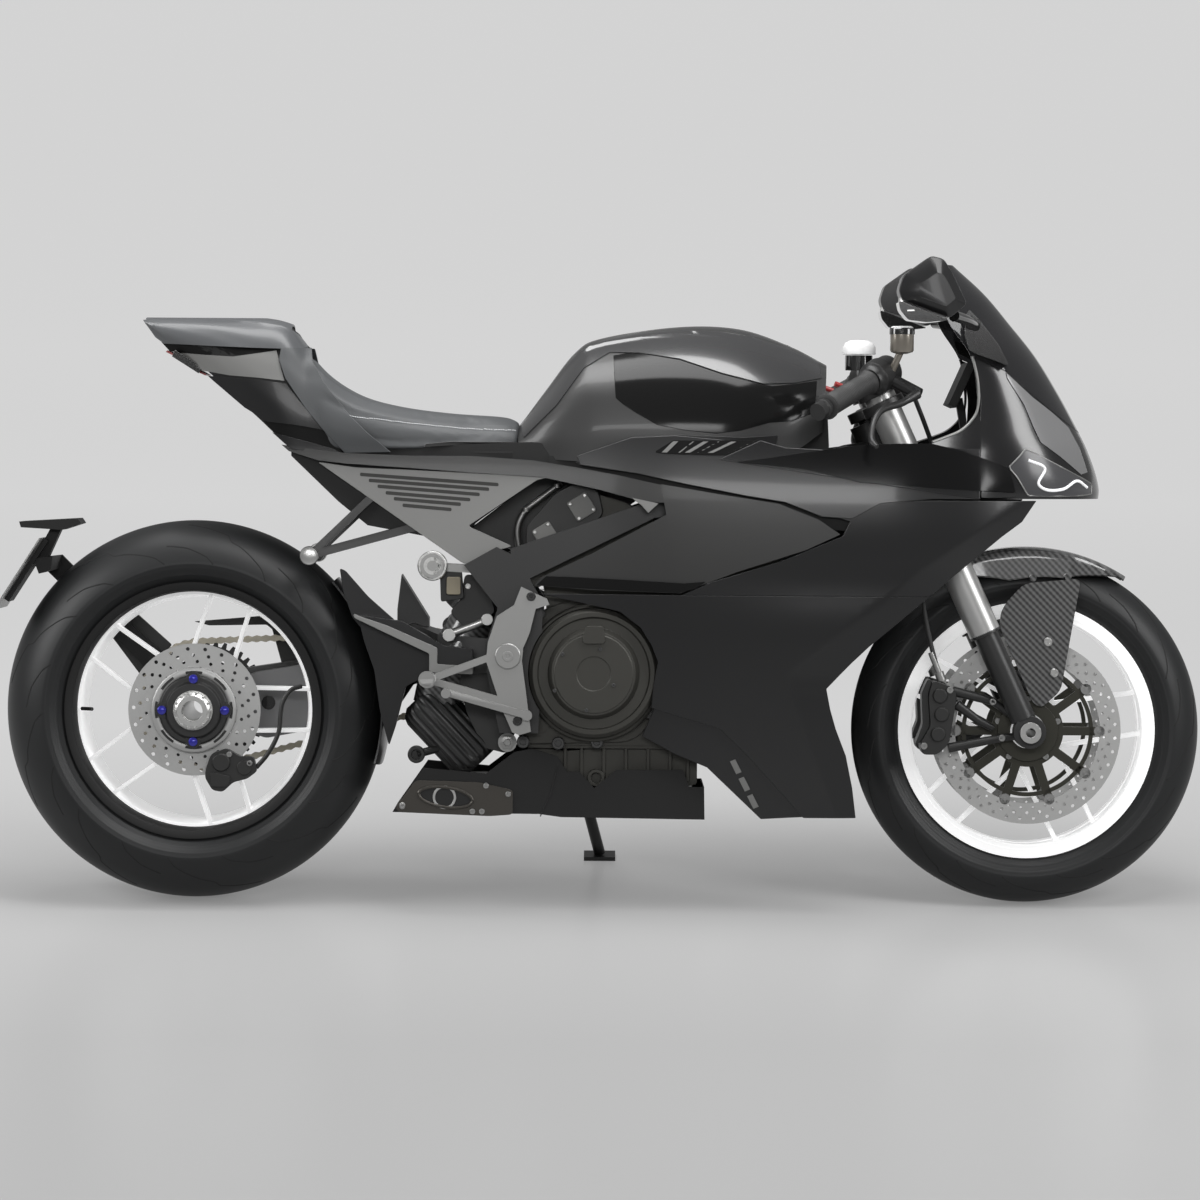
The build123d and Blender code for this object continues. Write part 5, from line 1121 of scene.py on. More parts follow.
# ---------------------------------------------------------------- tank, seat and tail
# x and z of the low and high end of each section, then its half widths from low to high
TANK = [(556, 772, 556, 818, 88, 96, 80, 44), (602, 764, 602, 881, 124, 126, 104, 46),
        (656, 760, 653, 947, 144, 142, 118, 52), (720, 760, 700, 972, 152, 152, 124, 56),
        (830, 760, 830, 992, 158, 156, 128, 60), (935, 760, 935, 989, 150, 148, 122, 58),
        (1021, 776, 1021, 961, 118, 122, 98, 50), (1078, 812, 1086, 928, 74, 82, 70, 38)]
SEAT = [(197, 806, 190.5, 948, 104, 108, 100, 66), (236, 775, 226, 904, 112, 122, 114, 88),
        (283, 775, 283, 868, 120, 128, 122, 92), (352, 775, 352, 849, 124, 130, 122, 92),
        (438, 775, 438, 838, 118, 122, 112, 80), (524, 775, 524, 833, 98, 100, 90, 60),
        (555, 775, 555, 829, 86, 88, 76, 48)]
TAIL = [(-86, 990, -91, 1001, 58, 62, 54, 34), (-38, 946, -27, 1003, 70, 78, 72, 46),
        (22, 907, 40, 1003, 84, 92, 86, 56), (108, 830, 100, 1002, 104, 110, 100, 64),
        (160, 785, 156, 997, 115, 118, 106, 68), (197, 781, 190, 956, 115, 116, 104, 68)]


class Loft:
    """Body through sections, each (x and z of its low end, x and z of its high end, four half widths from low
    to high): a section runs out from the middle of its floor, up its side and over to the middle of its top,
    smooth through its half widths, and the sections are joined smoothly."""

    HEIGHTS = np.array((0, 1 / 3, 2 / 3, 0.93, 0.985, 1.0))

    def __init__(self, table, long=8):
        rows = np.asarray(table, float)
        at = np.linspace(0, len(rows) - 1, (len(rows) - 1) * long + 1)
        rows = through(np.column_stack((np.arange(len(rows)), rows)), at)
        self.low, self.high, w = rows[:, :2], rows[:, 2:4], rows[:, 4:8]
        self.widths = np.column_stack((w, w[:, 3] * 0.58, np.zeros(len(rows))))

    def side(self, share):
        """Half widths of every section at shares of its height."""
        return np.maximum(through(np.column_stack((self.HEIGHTS, self.widths.T)), share), 0)

    def half(self, x, z):
        """Half width at points of the side view: the section through each point is found by halving."""
        x, z = np.broadcast_arrays(np.asarray(x, float), np.asarray(z, float))
        number = np.arange(len(self.low))
        near, far = np.zeros(x.shape), np.full(x.shape, len(self.low) - 1.0)
        for _ in range(26):
            u = (near + far) / 2
            x0, z0, x1, z1 = (np.interp(u, number, column) for column in (*self.low.T, *self.high.T))
            f = np.clip((z - z0) / (z1 - z0), 0, 1)
            before = x0 + (x1 - x0) * f < x
            near, far = np.where(before, u, near), np.where(before, far, u)
        wide = self.side(f.ravel())
        i = np.clip(u.ravel().astype(int), 0, len(self.low) - 2)
        t = u.ravel() - i
        k = np.arange(len(i))
        return (wide[k, i] * (1 - t) + wide[k, i + 1] * t).reshape(x.shape)

    def shell(self, shrink=0.0):
        """Vertices and faces of the closed body, its sides moved in by shrink."""
        t = np.linspace(0, 5, 36)
        f = np.clip(np.interp(t, np.arange(6), self.HEIGHTS), 0, 1)
        y = np.maximum(self.side(f).T - shrink, 0)
        f = f[None, :]
        span = self.high - self.low
        x = self.low[:, :1] + span[:, :1] * f
        z = self.low[:, 1:] + span[:, 1:] * f
        z = z + shrink * (1 - 2 * f)
        right = np.stack((x, -y, z), -1)
        left = (right * (1, -1, 1))[:, ::-1]
        grid = np.concatenate((right, left), 1)
        n, m = grid.shape[:2]
        index = np.arange(n * m).reshape(n, m)
        ring = np.hstack((index, index[:, :1]))
        return grid.reshape(-1, 3), [*quads(ring), index[0], index[-1][::-1]]


# upper and lower edge of each panel: upper x, upper z, lower x, lower z
TANK_SPINE = [(558, 822, 566, 800), (606, 882, 622, 856), (655, 947, 668, 920), (700, 968, 712, 947),
              (764, 984, 764, 946), (832, 991, 832, 936), (903, 990, 903, 912), (970, 976, 975, 894),
              (1020, 962, 1029, 896), (1072, 934, 1076, 905)]
TANK_RECESS = [(718, 941, 722, 868), (740, 945, 735, 857), (761, 946, 754, 844), (832, 934, 793, 822),
               (868, 922, 840, 813), (903, 910, 895, 808), (950, 898, 935, 813), (989, 890, 985, 827),
               (1029, 894, 1025, 830), (1068, 900, 1064, 845)]
TANK_FOOT = [(655, 758, 662, 752), (700, 780, 704, 764), (752, 802, 756, 766), (830, 806, 830, 766),
             (940, 802, 940, 766), (1000, 806, 996, 784)]
VENT = [(791, 778, 791, 775), (820, 796, 812, 773), (911, 797, 885, 771), (965, 797, 911, 771)]
VENT_BARS = [(820, 856, 832, 801), (871, 899, 864, 840), (918, 958, 915, 879)]
POD_BEVEL = [(606, 564, 590, 549), (645, 563, 640, 545), (740, 559, 735, 541), (841, 554, 830, 538),
             (876, 557, 860, 545)]
WINDOW_EDGE = [(752, 698, 757, 693), (772, 694, 767, 686), (796, 689, 779, 673)]
SEAT_PIPING = [(400, 788, 396, 782), (440, 792, 442, 785), (500, 792, 500, 785), (554, 792, 554, 785)]
STITCH_LINE = [(190, 925), (203, 893), (225, 866), (257, 843), (300, 835), (352, 830), (440, 823), (553, 815)]
TAIL_HUMP = [(-90, 998, -68, 968), (-60, 999, -53, 957), (30, 998, 30, 953), (106, 996, 106, 950),
             (150, 989, 150, 949), (168, 981, 180, 950), (176, 975, 193, 953)]
TAIL_SLOT = [(-58, 960, -43, 944), (30, 957, 36, 936), (100, 953, 110, 938), (140, 952, 144, 943)]
TAIL_LOW_SLOT = [(120, 826, 156, 790), (172, 822, 205, 776), (222, 812, 262, 768)]
SEAT_HORN = [(150, 952, 200, 952), (147, 930, 204, 928), (158, 899, 224, 892), (176, 872, 250, 860),
             (194, 846, 270, 835), (222, 812, 300, 806), (261, 771, 340, 773)]
TAIL_SCOOP = [(-36, 942, -34, 941), (18, 938, 14, 911), (68, 935, 62, 903), (117, 942, 112, 899),
              (142, 946, 157, 894)]
TAIL_SIDE = [(24, 902, 34, 893), (70, 899, 88, 848), (110, 896, 128, 824), (160, 889, 175, 819),
             (170, 876, 222, 811)]
TAIL_FOOT = [(136, 806, 168, 778), (190, 792, 220, 770), (240, 779, 262, 768)]
RED_TABS = [(-42, 940), (-16, 923), (11, 907)]

# the slot and low slot panels are near-black sheets: painted shade in the tail's gaps
# name, rows, finish, inset of the tail's panels
TAIL_PANELS = (("hump", TAIL_HUMP, "hump_grey", -0.5), ("scoop", TAIL_SCOOP, "scoop_grey", 3.0),
               ("slot", TAIL_SLOT, "painted_shade_black", 4.0), ("low_slot", TAIL_LOW_SLOT, "painted_shade_black", 3.0),
               ("side", TAIL_SIDE, "satin_body", 0.5), ("foot", TAIL_FOOT, "satin_body", 1.0))
# x and level of the tail's crease, and the top of the cap that spans from one crease to the other
HUMP_CREASE, HUMP_TOP = [(-86, 994), (10, 996), (105, 993), (140, 990), (166, 982)], 1003.0
# padding of the seat: cell of its even mesh in metres, pressure and last frame of the swelling, the slope of
# the skin's normal below which it is held, and the depth and reach of the sewn channel
CELL, PRESSURE, LAST_FRAME, HELD_BELOW = 0.0055, 4.0, 20, -0.35
CHANNEL_DEPTH, CHANNEL_REACH = 2.2, 9.0


def padded(verts, faces, seam, move=6.0):
    """Skin blown up as cloth: the shape is remeshed into even cells and swells under pressure, its underside
    held, no point moving further than given; then a channel is pressed in along the seam of both sides."""
    mesh = bpy.data.meshes.new("cushion_start")
    mesh.from_pydata(np.asarray(verts) * MM, [], [list(map(int, f)) for f in faces])
    obj = bpy.data.objects.new("cushion_start", mesh)
    bpy.context.scene.collection.objects.link(obj)
    remesh = obj.modifiers.new("cells", "REMESH")
    remesh.mode, remesh.voxel_size = "VOXEL", CELL
    even = bpy.data.meshes.new_from_object(obj.evaluated_get(bpy.context.evaluated_depsgraph_get()))
    obj.modifiers.clear()
    obj.data = even
    count = len(even.vertices)
    start, normals = np.empty(count * 3, np.float32), np.empty(count * 3, np.float32)
    even.vertices.foreach_get("co", start)
    even.vertices.foreach_get("normal", normals)
    start, normals = start.reshape(-1, 3), normals.reshape(-1, 3)
    held = obj.vertex_groups.new(name="held")
    held.add([int(k) for k in np.flatnonzero(normals[:, 2] < HELD_BELOW)], 1.0, "REPLACE")
    cloth = obj.modifiers.new("cloth", "CLOTH")
    cloth.settings.use_pressure = True
    cloth.settings.uniform_pressure_force = PRESSURE
    cloth.settings.effector_weights.gravity = 0.0
    cloth.settings.vertex_group_mass = "held"
    cloth.settings.quality = 4
    scene = bpy.context.scene
    for frame_number in range(1, LAST_FRAME + 1):
        scene.frame_set(frame_number)
    blown = bpy.data.meshes.new_from_object(obj.evaluated_get(bpy.context.evaluated_depsgraph_get()))
    end = np.empty(count * 3, np.float32)
    blown.vertices.foreach_get("co", end)
    scene.frame_set(1)
    shift = (end.reshape(-1, 3) - start) / MM
    far = np.linalg.norm(shift, axis=1, keepdims=True)
    points = start / MM + shift * np.minimum(1, move / np.maximum(far, 1e-6))
    for side in (1, -1):
        gap = np.linalg.norm(points[:, None] - seam[None] * (1, side, 1), axis=2).min(axis=1)
        depth = CHANNEL_DEPTH * np.clip(1 - (gap / CHANNEL_REACH) ** 2, 0, 1)
        points = points - normals * depth[:, None]
    shape = [list(polygon.vertices) for polygon in blown.polygons]
    bpy.data.objects.remove(obj)
    for spare in (mesh, even, blown):
        bpy.data.meshes.remove(spare)
    return points, shape


class BodyOperator(bpy.types.Operator):
    """Makes the tank, the seat and the tail."""

    bl_idname = "motorcycle.body"
    bl_label = "Tank, seat and tail"

    def execute(self, context):
        edge = mm(context.scene.motorcycle_sizes.edge)
        tank, seat, tail = Loft(TANK), Loft(SEAT), Loft(TAIL)
        piece("tank_shell", "tank_paint", tank.shell(), replaces=["fuel_tank"], sharp=50)
        for name, rows, look, out, thick, across in (
                ("tank_spine", TANK_SPINE, "tank_band", -2.5, 6, 10),
                ("tank_gloss_sides", TANK_RECESS, "gloss_recess", -0.8, 5, 14),
                ("tank_foot_covers", TANK_FOOT, "satin_body", -1.5, 6, 10)):
            skin = both(panel(rows, out, thick, across=across, half=tank.half))
            piece(name, look, skin, slot="tank_paint", edge=edge)
        self.cushion(seat)
        horn = panel(SEAT_HORN, inset=-0.5, thick=8, across=12,
                     half=lambda x, z: np.maximum(tail.half(x, z), seat.half(x, z)))
        piece("seat_horn_panels", "seat_leather", both(horn), edge=2.0)
        piece("seat_piping", "gloss_black", both(panel(SEAT_PIPING, inset=-1.5, thick=5, across=3,
                                                       half=seat.half)), edge=0.6, slot="seat_leather")
        piece("tail_core", "matte_black", tail.shell(4.0), replaces=["tail_unit"], sharp=50,
              slot="fairing_black")
        for name, rows, look, out in TAIL_PANELS:
            skin = both(panel(rows, inset=out, thick=4, across=10, half=tail.half))
            piece("tail_" + name + "_panels", look, skin, edge=edge)
        tab = np.array([(-9, 3), (6, -4), (9, -2), (-6, 6)])
        piece("tail_red_tabs", "red_lens", *(slab(tab + at, -52, 52) for at in RED_TABS), edge=0.6)
        piece("tail_hump_top", "hump_grey", self.hump_top(tail), edge=edge)
        return {"FINISHED"}

    def cushion(self, seat):
        line = along(STITCH_LINE, 100, smooth=True)
        seam = np.column_stack((line[:, 0], -seat.half(line[:, 0], line[:, 1]), line[:, 1]))
        shape = padded(*seat.shell(3.0), seam)
        cushion = piece("seat_cushion", "seat_leather", shape, replaces=["seat"], sharp=80)
        smooth = cushion.modifiers.new("smooth", "SUBSURF")
        smooth.levels = smooth.render_levels = 1
        skin = BVHTree.FromPolygons(np.asarray(shape[0]).tolist(),
                                    [list(map(int, face)) for face in shape[1]])
        seam = np.array([skin.find_nearest(p)[0] for p in (seam - (0, 0.9, 0)).tolist()]) - (0, 0.4, 0)
        run = np.gradient(seam, axis=0)
        run /= np.linalg.norm(run, axis=1)[:, None]
        threads = [tube(np.array([p - r * 1.5, p, p + r * 1.5]), (0.5, 1.2, 0.5), 6)
                   for p, r in zip(seam, run)]
        piece("seat_stitches", "thread", both(*threads), sharp=60)

    def hump_top(self, tail):
        """Cap over the tail: at each x it spans from one crease to the other, its middle a little higher."""
        line = along(HUMP_CREASE, 40)
        a = np.linspace(-1, 1, 21)[None, :]
        y = tail.half(line[:, 0], line[:, 1])[:, None] * a
        rise = (HUMP_TOP - line[:, 1]) * np.interp(line[:, 0], (-86, 120, 166), (1, 1, 0.5))
        z = line[:, 1:2] + rise[:, None] * (1 - a ** 4)
        outer = np.stack((np.broadcast_to(line[:, :1], y.shape), y, z), -1)
        return wall(outer, outer - (0, 0, 4))


# ---------------------------------------------------------------- rear details
SIDE_PLATE = [(214, 756), (279, 747), (420, 741), (561, 735), (619, 735), (589, 727), (472, 648), (548, 614),
              (522, 607), (494, 581), (464, 584)]
# start and end of each slot of the side plates
PLATE_SLOTS = [((287, 735), (524, 719)), ((302, 725), (508, 711)), ((317, 715), (492, 702)),
               ((331, 704), (476, 693)), ((345, 694), (460, 685)), ((360, 683), (444, 676))]
WINDOW_BACK = [(470, 640), (548, 606), (610, 596), (700, 650), (770, 700), (690, 728), (600, 740)]
COOLANT_PIPE = [(560, -84, 600), (556, -86, 645), (568, -86, 673), (596, -84, 696), (630, -78, 722)]
WINDOW_BOX = [(572, 606), (572, 649), (621, 706), (653, 722), (694, 712), (704, 668), (646, 622), (597, 598)]
# middle and half size of the window's square covers
COVERS = [(604, 634, 19), (666, 682, 21)]
HUGGER_FIN = [(252, 574), (262, 570), (301, 526), (350, 483), (362, 470), (289, 472), (274, 490), (258, 534)]
HUGGER_SIDE = [(285, 487), (330, 468), (411, 432), (411, 396), (366, 372), (350, 306), (338, 270), (322, 330),
               (312, 400), (294, 450)]
ARM_GUARD = [(279, 495), (299, 493), (360, 485), (433, 443), (481, 439), (482, 399), (413, 402), (413, 433),
             (332, 469)]
ARM_EDGE = [(277, 497), (279, 490), (332, 465), (407, 430), (407, 398), (482, 395), (482, 409), (421, 412),
            (421, 440), (336, 477)]
SUMP = [(575, 272), (640, 264), (700, 268), (866, 268), (866, 206), (700, 198), (640, 226), (575, 236)]


def side_plate_out(x):
    """Distance of the side plates' faces from the middle plane."""
    return 112.6 + 0.0735 * (np.asarray(x, float) - 214)


def leaning_plate(outline, out, thick):
    """Plate of a closed outline whose outer face follows the side plates, raised by out."""
    verts, faces = slab(outline, 0.0, 1.0)
    y = np.where(verts[:, 1] < 0.5, -side_plate_out(verts[:, 0]) - out,
                 thick - side_plate_out(verts[:, 0]) - out)
    return np.column_stack((verts[:, 0], y, verts[:, 2])), faces


BRACKET = [(424, 576), (461, 578), (466, 524), (426, 518)]
BRACKET_ARM = [(466, 566), (500, 560), (520, 500), (470, 470), (440, 500), (462, 526)]
CAN_BRACKET = [(452, 404), (530, 404), (556, 300), (540, 258), (500, 268), (470, 330)]
OIL_CAP = [(-24, 24.5), (-20, 25.5), (2, 25.5), (4, 24), (4, 20.5), (1.0, 19.5), (1.0, 16.5), (4, 15.5),
           (4, 8.5), (1, 7.5), (1, 5), (3, 4.5), (3, 0.01)]
KNOB = [(0, 8), (0, 15), (3, 16.5), (7, 15), (9, 10), (9, 0.01)]
SHOCK_LINE = [(505, -58, 560), (478, -58, 480), (438, -58, 400), (416, -58, 335)]


class RearOperator(bpy.types.Operator):
    """Makes the side plates, the pieces in the window, the hugger, the arm guard and the oil can's cap."""

    bl_idname = "motorcycle.rear"
    bl_label = "Rear details"

    def execute(self, context):
        piece("side_plate_pieces", "plate_silver", both(leaning_plate(rounded(SIDE_PLATE, 6), 0, 12)),
              replaces=["side_plates"], edge=2.2, sharp=30)
        # the slots are dark inlays raised on the plate: painted shade in place of cut slots
        slots, rise = [], np.array((0, 3.0))
        for low, high in PLATE_SLOTS:
            outline = [low - rise, high - rise, high + rise, low + rise]
            slots.append(leaning_plate(rounded(outline, 3), 0.5, 2))
        piece("side_plate_slots", "slot_painted_shade", both(*slots), edge=0.4)
        self.window()
        self.hugger()
        self.guard_and_cap()
        self.brackets()
        return {"FINISHED"}

    def window(self):
        """Back wall, box with its two square covers, and the bent coolant pipe seen through the window."""
        piece("window_boxes", "cast_black", both(slab(rounded(WINDOW_BACK, 8), -66, -60),
                                                 slab(rounded(WINDOW_BOX, 12), -121, -70)), edge=2.0)
        covers, heads = [], []
        for x, z, half in COVERS:
            turns = [radians(32) + k * pi / 2 + pi / 4 for k in range(4)]
            corners = np.array([(cos(a), sin(a)) for a in turns]) * half * 1.3
            covers.append(slab(rounded(corners + (x, z), 5), -125, -119))
            heads.append(bolts(corners * 0.74 + (x, z), -125, 2.6))
        piece("window_covers", "cover_grey", both(*covers), edge=1.2)
        piece("window_cover_bolts", "bright_steel", both(*heads), sharp=40)
        pipe = along(COOLANT_PIPE, 40, smooth=True)
        clips = [rod(p - (0, 0, 3.5), p + (0, 0, 3.5), 7.6, 24) for p in pipe[[2, 20, 37]]]
        piece("coolant_pipe", "brushed_alloy", tube(pipe, 6.0), *clips, sharp=40)

    def hugger(self):
        """Curved guard over the front of the rear tyre: an arc round the axle, with a pointed side fin."""
        turn = np.radians(np.linspace(-16, 43, 40))[:, None]
        across = np.linspace(-1, 1, 25)[None, :]
        wide = np.interp(np.degrees(turn), (-16, 30, 43), (92, 92, 60))
        r = 336 - 9 * across ** 4
        outer = np.stack((r * np.cos(turn), wide * across, REAR_Z + r * np.sin(turn)), -1)
        inner = np.stack(((r - 4) * np.cos(turn), wide * across * 0.97, REAR_Z + (r - 4) * np.sin(turn)), -1)
        piece("rear_hugger", "satin_body", wall(outer, inner), slab(rounded(HUGGER_FIN, 4), -98, -92),
              slab(rounded(HUGGER_SIDE, 6), -100, -84), edge=1.2)

    def guard_and_cap(self):
        """Guard on the swingarm with its bright edge, the oil can's cap and bands, and the shock's cover."""
        piece("arm_guard_body", "satin_body", slab(rounded(ARM_GUARD, 5), -128, -104), edge=2.0)
        piece("arm_guard_edge", "plate_silver", slab(rounded(ARM_EDGE, 3), -132, -108), edge=1.5)
        piece("oil_can_cap", "bright_steel", boss(OIL_CAP, (412, -136, 580), 48),
              rod((440, -100, 462), (505, -100, 487), 7.5), rod((505, -92, 488), (505, -110, 488), 10),
              rod((440, -92, 461), (440, -108, 461), 11), sharp=35, edge=0.5)
        thick = np.interp(np.arange(30), (0, 8, 22, 29), (22, 38, 46, 40))
        piece("shock_cover", "carbon_twill", tube(along(SHOCK_LINE, 30, smooth=True), thick, 48), sharp=50)
        piece("pillion_knobs", "bright_steel", both(boss(KNOB, (202, -137, 596), 40)), sharp=40)

    def brackets(self):
        """Relay box with its bracket, the can's bracket with its round end, and the pan's lug."""
        relay = rounded([(436, 561), (460, 561), (460, 531), (436, 531)], 4)
        piece("small_relay_box", "relay_beige", slab(relay, -130, -108), edge=1.0)
        piece("relay_bracket", "cast_black", slab(rounded(BRACKET, 5), -120, -102),
              slab(rounded(BRACKET_ARM, 10), -104, -90), edge=1.5)
        round_end = [(-12, 8), (-12, 15), (0, 15), (2, 13), (2, 9), (-4, 8), (-4, 0.01)]
        piece("can_bracket_ends", "cast_black", boss(round_end, (385, -104, 256)),
              rod((385, -96, 256), (432, -78, 268), 7), slab(rounded(CAN_BRACKET, 8), -96, -40), sharp=40)
        six_sided = [(-12, 7), (-12, 12), (0, 12), (1, 7), (-4, 6), (-4, 0.01)]
        washer = band(-14, -6, 9, 16)
        piece("pan_lug", "brushed_alloy", boss(six_sided, (541, -120, 278), 6),
              boss(washer, (541, -120, 278), 40, True), sharp=40, slot="brushed_alloy")
        piece("bracket_bolts", "bright_steel", bolts([(472, 545)], -106, 5), bolts([(362, 170)], -119, 5),
              sharp=40)


# ---------------------------------------------------------------- engine
CAN_HIGH, CAN_LOW = np.array((388, -60, 353.0)), np.array((494, -60, 241.0))
OUTLET, OUTLET_REACH = (436, 184), (46, 17)
OUTLET_PLATE = [(385, 213), (494, 210), (551, 197), (551, 155), (511, 152), (356, 158), (350, 166)]
CLUTCH = [(-30, 110), (-8, 110), (0, 104), (0, 96), (-3, 94), (-3, 78), (4, 76), (13, 71), (13, 68),
          (14.4, 66), (14.4, 30), (13.2, 28), (13.2, 0.01)]
CLUTCH_STRAP = [(674, 480), (704, 480), (708, 455), (704, 450), (672, 450), (668, 455)]
CLUTCH_BOLTS = [(635, 432), (699, 441), (722, 380), (676, 337), (622, 370)]
CASE_BOLTS = [(594, 499), (555, 408), (568, 345), (568, 280), (628, 278), (694, 280), (800, 455), (786, 330)]
CASE_BOLT = [(-14, 11), (4, 11), (6, 9.5), (6, 6), (3, 5.5), (3, 0.01)]
CASE_RIM = [(-10, 118), (6, 118), (9, 115), (9, 110), (-10, 110)]
CASE_SIDE = [(566, 470), (600, 508), (660, 524), (740, 520), (800, 480), (816, 420), (806, 340), (760, 280),
             (560, 276), (556, 330), (572, 400)]
PIVOT = (542, -176, 428)
PIVOT_NUT = [(0, 0.01), (2, 0.01), (2, 6), (5, 6.5), (5, 13)]
PIVOT_RIM = [(-2, 22), (3, 22), (4, 20.5), (4, 17), (-2, 17)]
# distance along the ribbed can and its radius, the far ones counted back from its low end
CAN_HEAD, CAN_TAIL = [(0, 12), (0, 30), (10, 42), (22, 46)], [(-26, 46), (-12, 44), (0, 34), (0, 12)]


class EngineOperator(bpy.types.Operator):
    """Makes the clutch cover's rings and bolts, the sump, the ribbed can and the belly pan's outlet."""

    bl_idname = "motorcycle.engine"
    bl_label = "Engine details"

    def execute(self, context):
        self.clutch()
        self.lower()
        self.can()
        piece("pivot_rings", "cast_black", both(boss(band(3, 4.4, 9, 17.5), PIVOT, 48, True)), sharp=35)
        piece("pivot_caps", "brushed_alloy", both(boss(PIVOT_NUT, PIVOT, 6), boss(PIVOT_RIM, PIVOT, 48, True),
                                                  rod((542, -174, 428), (542, -179, 428), 15, 6),
                                                  boss(band(4, 7, 4, 9), PIVOT, 24, True)), sharp=30,
              edge=0.5)
        piece("hanger_bolts", "dark_metal", both(bolts([(581, 530), (559, 318)], -176, 8)), sharp=40,
              slot="steel")
        return {"FINISHED"}

    def clutch(self):
        """Round cover: a rim, a step, a raised plate with five small bolts and a strap over its top."""
        piece("clutch_cover_piece", "engine_casting", boss(CLUTCH, (688, -160, 399), 128),
              slab(rounded(CLUTCH_STRAP, 4), -180, -160), replaces=["clutch_cover"], sharp=30, edge=1.0)
        piece("clutch_bolts", "cast_grey", bolts(CLUTCH_BOLTS, -174.6, 3.4),
              *(boss(CASE_BOLT, (x, -124, z), 20) for x, z in CASE_BOLTS), sharp=35)
        piece("crank_case_side", "engine_casting", boss(CASE_RIM, (688, -126, 399), 128, True),
              slab(rounded(CASE_SIDE, 30), -118, -100), sharp=30, edge=2.0)

    def lower(self):
        """Sump with its upright ribs, the outlet in its bracket plate and the pan's seams."""
        ribs = [slab([(x - 3, 270), (x + 3, 270), (x + 3, 214), (x - 3, 210)], -106, 106)
                for x in (640, 668, 706, 744, 782, 820, 850)]
        flange = rounded([(576, 278), (862, 278), (862, 268), (576, 268)], 3)
        piece("sump_casting", "engine_casting", slab(rounded(SUMP, 6), -100, 100), *ribs,
              slab(flange, -108, 108), turned(band(-6, 6, 9, 15), (693, -104, 218), steps=32), edge=1.2)
        a = np.linspace(0, 2 * pi, 49)
        oval = np.column_stack((OUTLET[0] + OUTLET_REACH[0] * np.cos(a), np.full(49, -120.5),
                                OUTLET[1] + OUTLET_REACH[1] * np.sin(a) - 0.12 * OUTLET_REACH[0] * np.cos(a)))
        piece("outlet_plate", "outlet_metal", slab(rounded(OUTLET_PLATE, 7), -120, -118), tube(oval, 3.0, 10),
              edge=0.6)
        seam = np.array([(627, -118.2, 240), (616, -118.4, 192), (598, -118.2, 152)])
        # the opening is a near-black plate: painted shade inside the outlet; the seam tube is a dark joint
        piece("outlet_opening", "outlet_shade_and_seam_black", slab(oval[:-1, ::2], -121, -117), tube(seam, 1.0, 6))
        heads = bolts([(362, 168), (505, 204), (543, 190), (498, 160), (482, 160)], -120, 5)
        piece("outlet_bolts", "brushed_alloy", heads, sharp=40)

    def can(self):
        """Can with ribs along it: its radius swings by 1.7 in 22 waves round the axis, and its ends taper."""
        run = CAN_LOW - CAN_HIGH
        length = float(np.linalg.norm(run))
        run = run / length
        side = np.cross(run, (0, 1.0, 0))
        up = np.cross(side, run)
        stations = np.array(CAN_HEAD + [(length + s, r) for s, r in CAN_TAIL])
        a = np.linspace(0, 2 * pi, 177)[:-1]
        swing = 1.7 * np.sign(np.cos(22 * a)) * np.abs(np.cos(22 * a)) ** 0.4
        ribbed = np.array((0, 0, 1, 1, 1, 1, 0, 0))[:, None]
        r = stations[:, 1:] + swing[None, :] * ribbed
        grid = (CAN_HIGH + stations[:, None, :1] * run + (r * np.cos(a))[..., None] * side
                + (r * np.sin(a))[..., None] * up)
        index = np.arange(grid.shape[0] * grid.shape[1]).reshape(grid.shape[:2])
        index = np.hstack((index, index[:, :1]))
        piece("ribbed_can_piece", "dark_metal", (grid, [*quads(index), index[0, :-1], index[-1, :-1][::-1]]),
              replaces=["ribbed_can"], sharp=35, edge=0.5)


# ---------------------------------------------------------------- controls, fender and fork legs
GRIP_IN, GRIP_OUT = np.array((1171, -180, 909.0)), np.array((1060, -330, 845.0))
LEVER = [(1232, -206, 878), (1206, -226, 862), (1167, -262, 847), (1153, -285, 822), (1151, -300, 797),
         (1159, -312, 787)]
FENDER_TURNS = [(57, 314), (66, 294), (77, 272), (97, 262), (108, 280), (114, 300)]
FENDER_BLADE = [(1384, 504), (1395, 523), (1425, 555), (1522, 564), (1489, 371), (1456, 342), (1441, 350),
                (1399, 445), (1384, 478)]
HOUSING = [(-30, 12), (-29, 24), (-26, 27), (-4, 27), (-2, 30), (22, 29), (26, 24), (34, 21), (36, 12)]
BAR_END = [(174, 8), (176, 17), (184, 17), (187, 14), (187, 8), (190, 8), (190, 0.01)]
POT_FOOT, STEM_TOP = np.array((1205, -212, 944.0)), (1143, 0, 925)
CUP = [(0, 9), (3, 18), (6, 20), (34, 20), (34, 10)]
CUP_CAP = [(33, 10), (33, 21.5), (42, 21.5), (44, 20), (44, 10)]
CUP_WHITE = [(44, 19), (46, 18), (47, 15), (47, 0.01)]
STEM_WHITE = [(22, 10), (22, 29), (34, 29), (42, 24), (46, 15), (47, 0.01)]
CENTRE = [(-60, 30), (-60, 44), (-66, 52), (-76, 52), (-76, 30)]


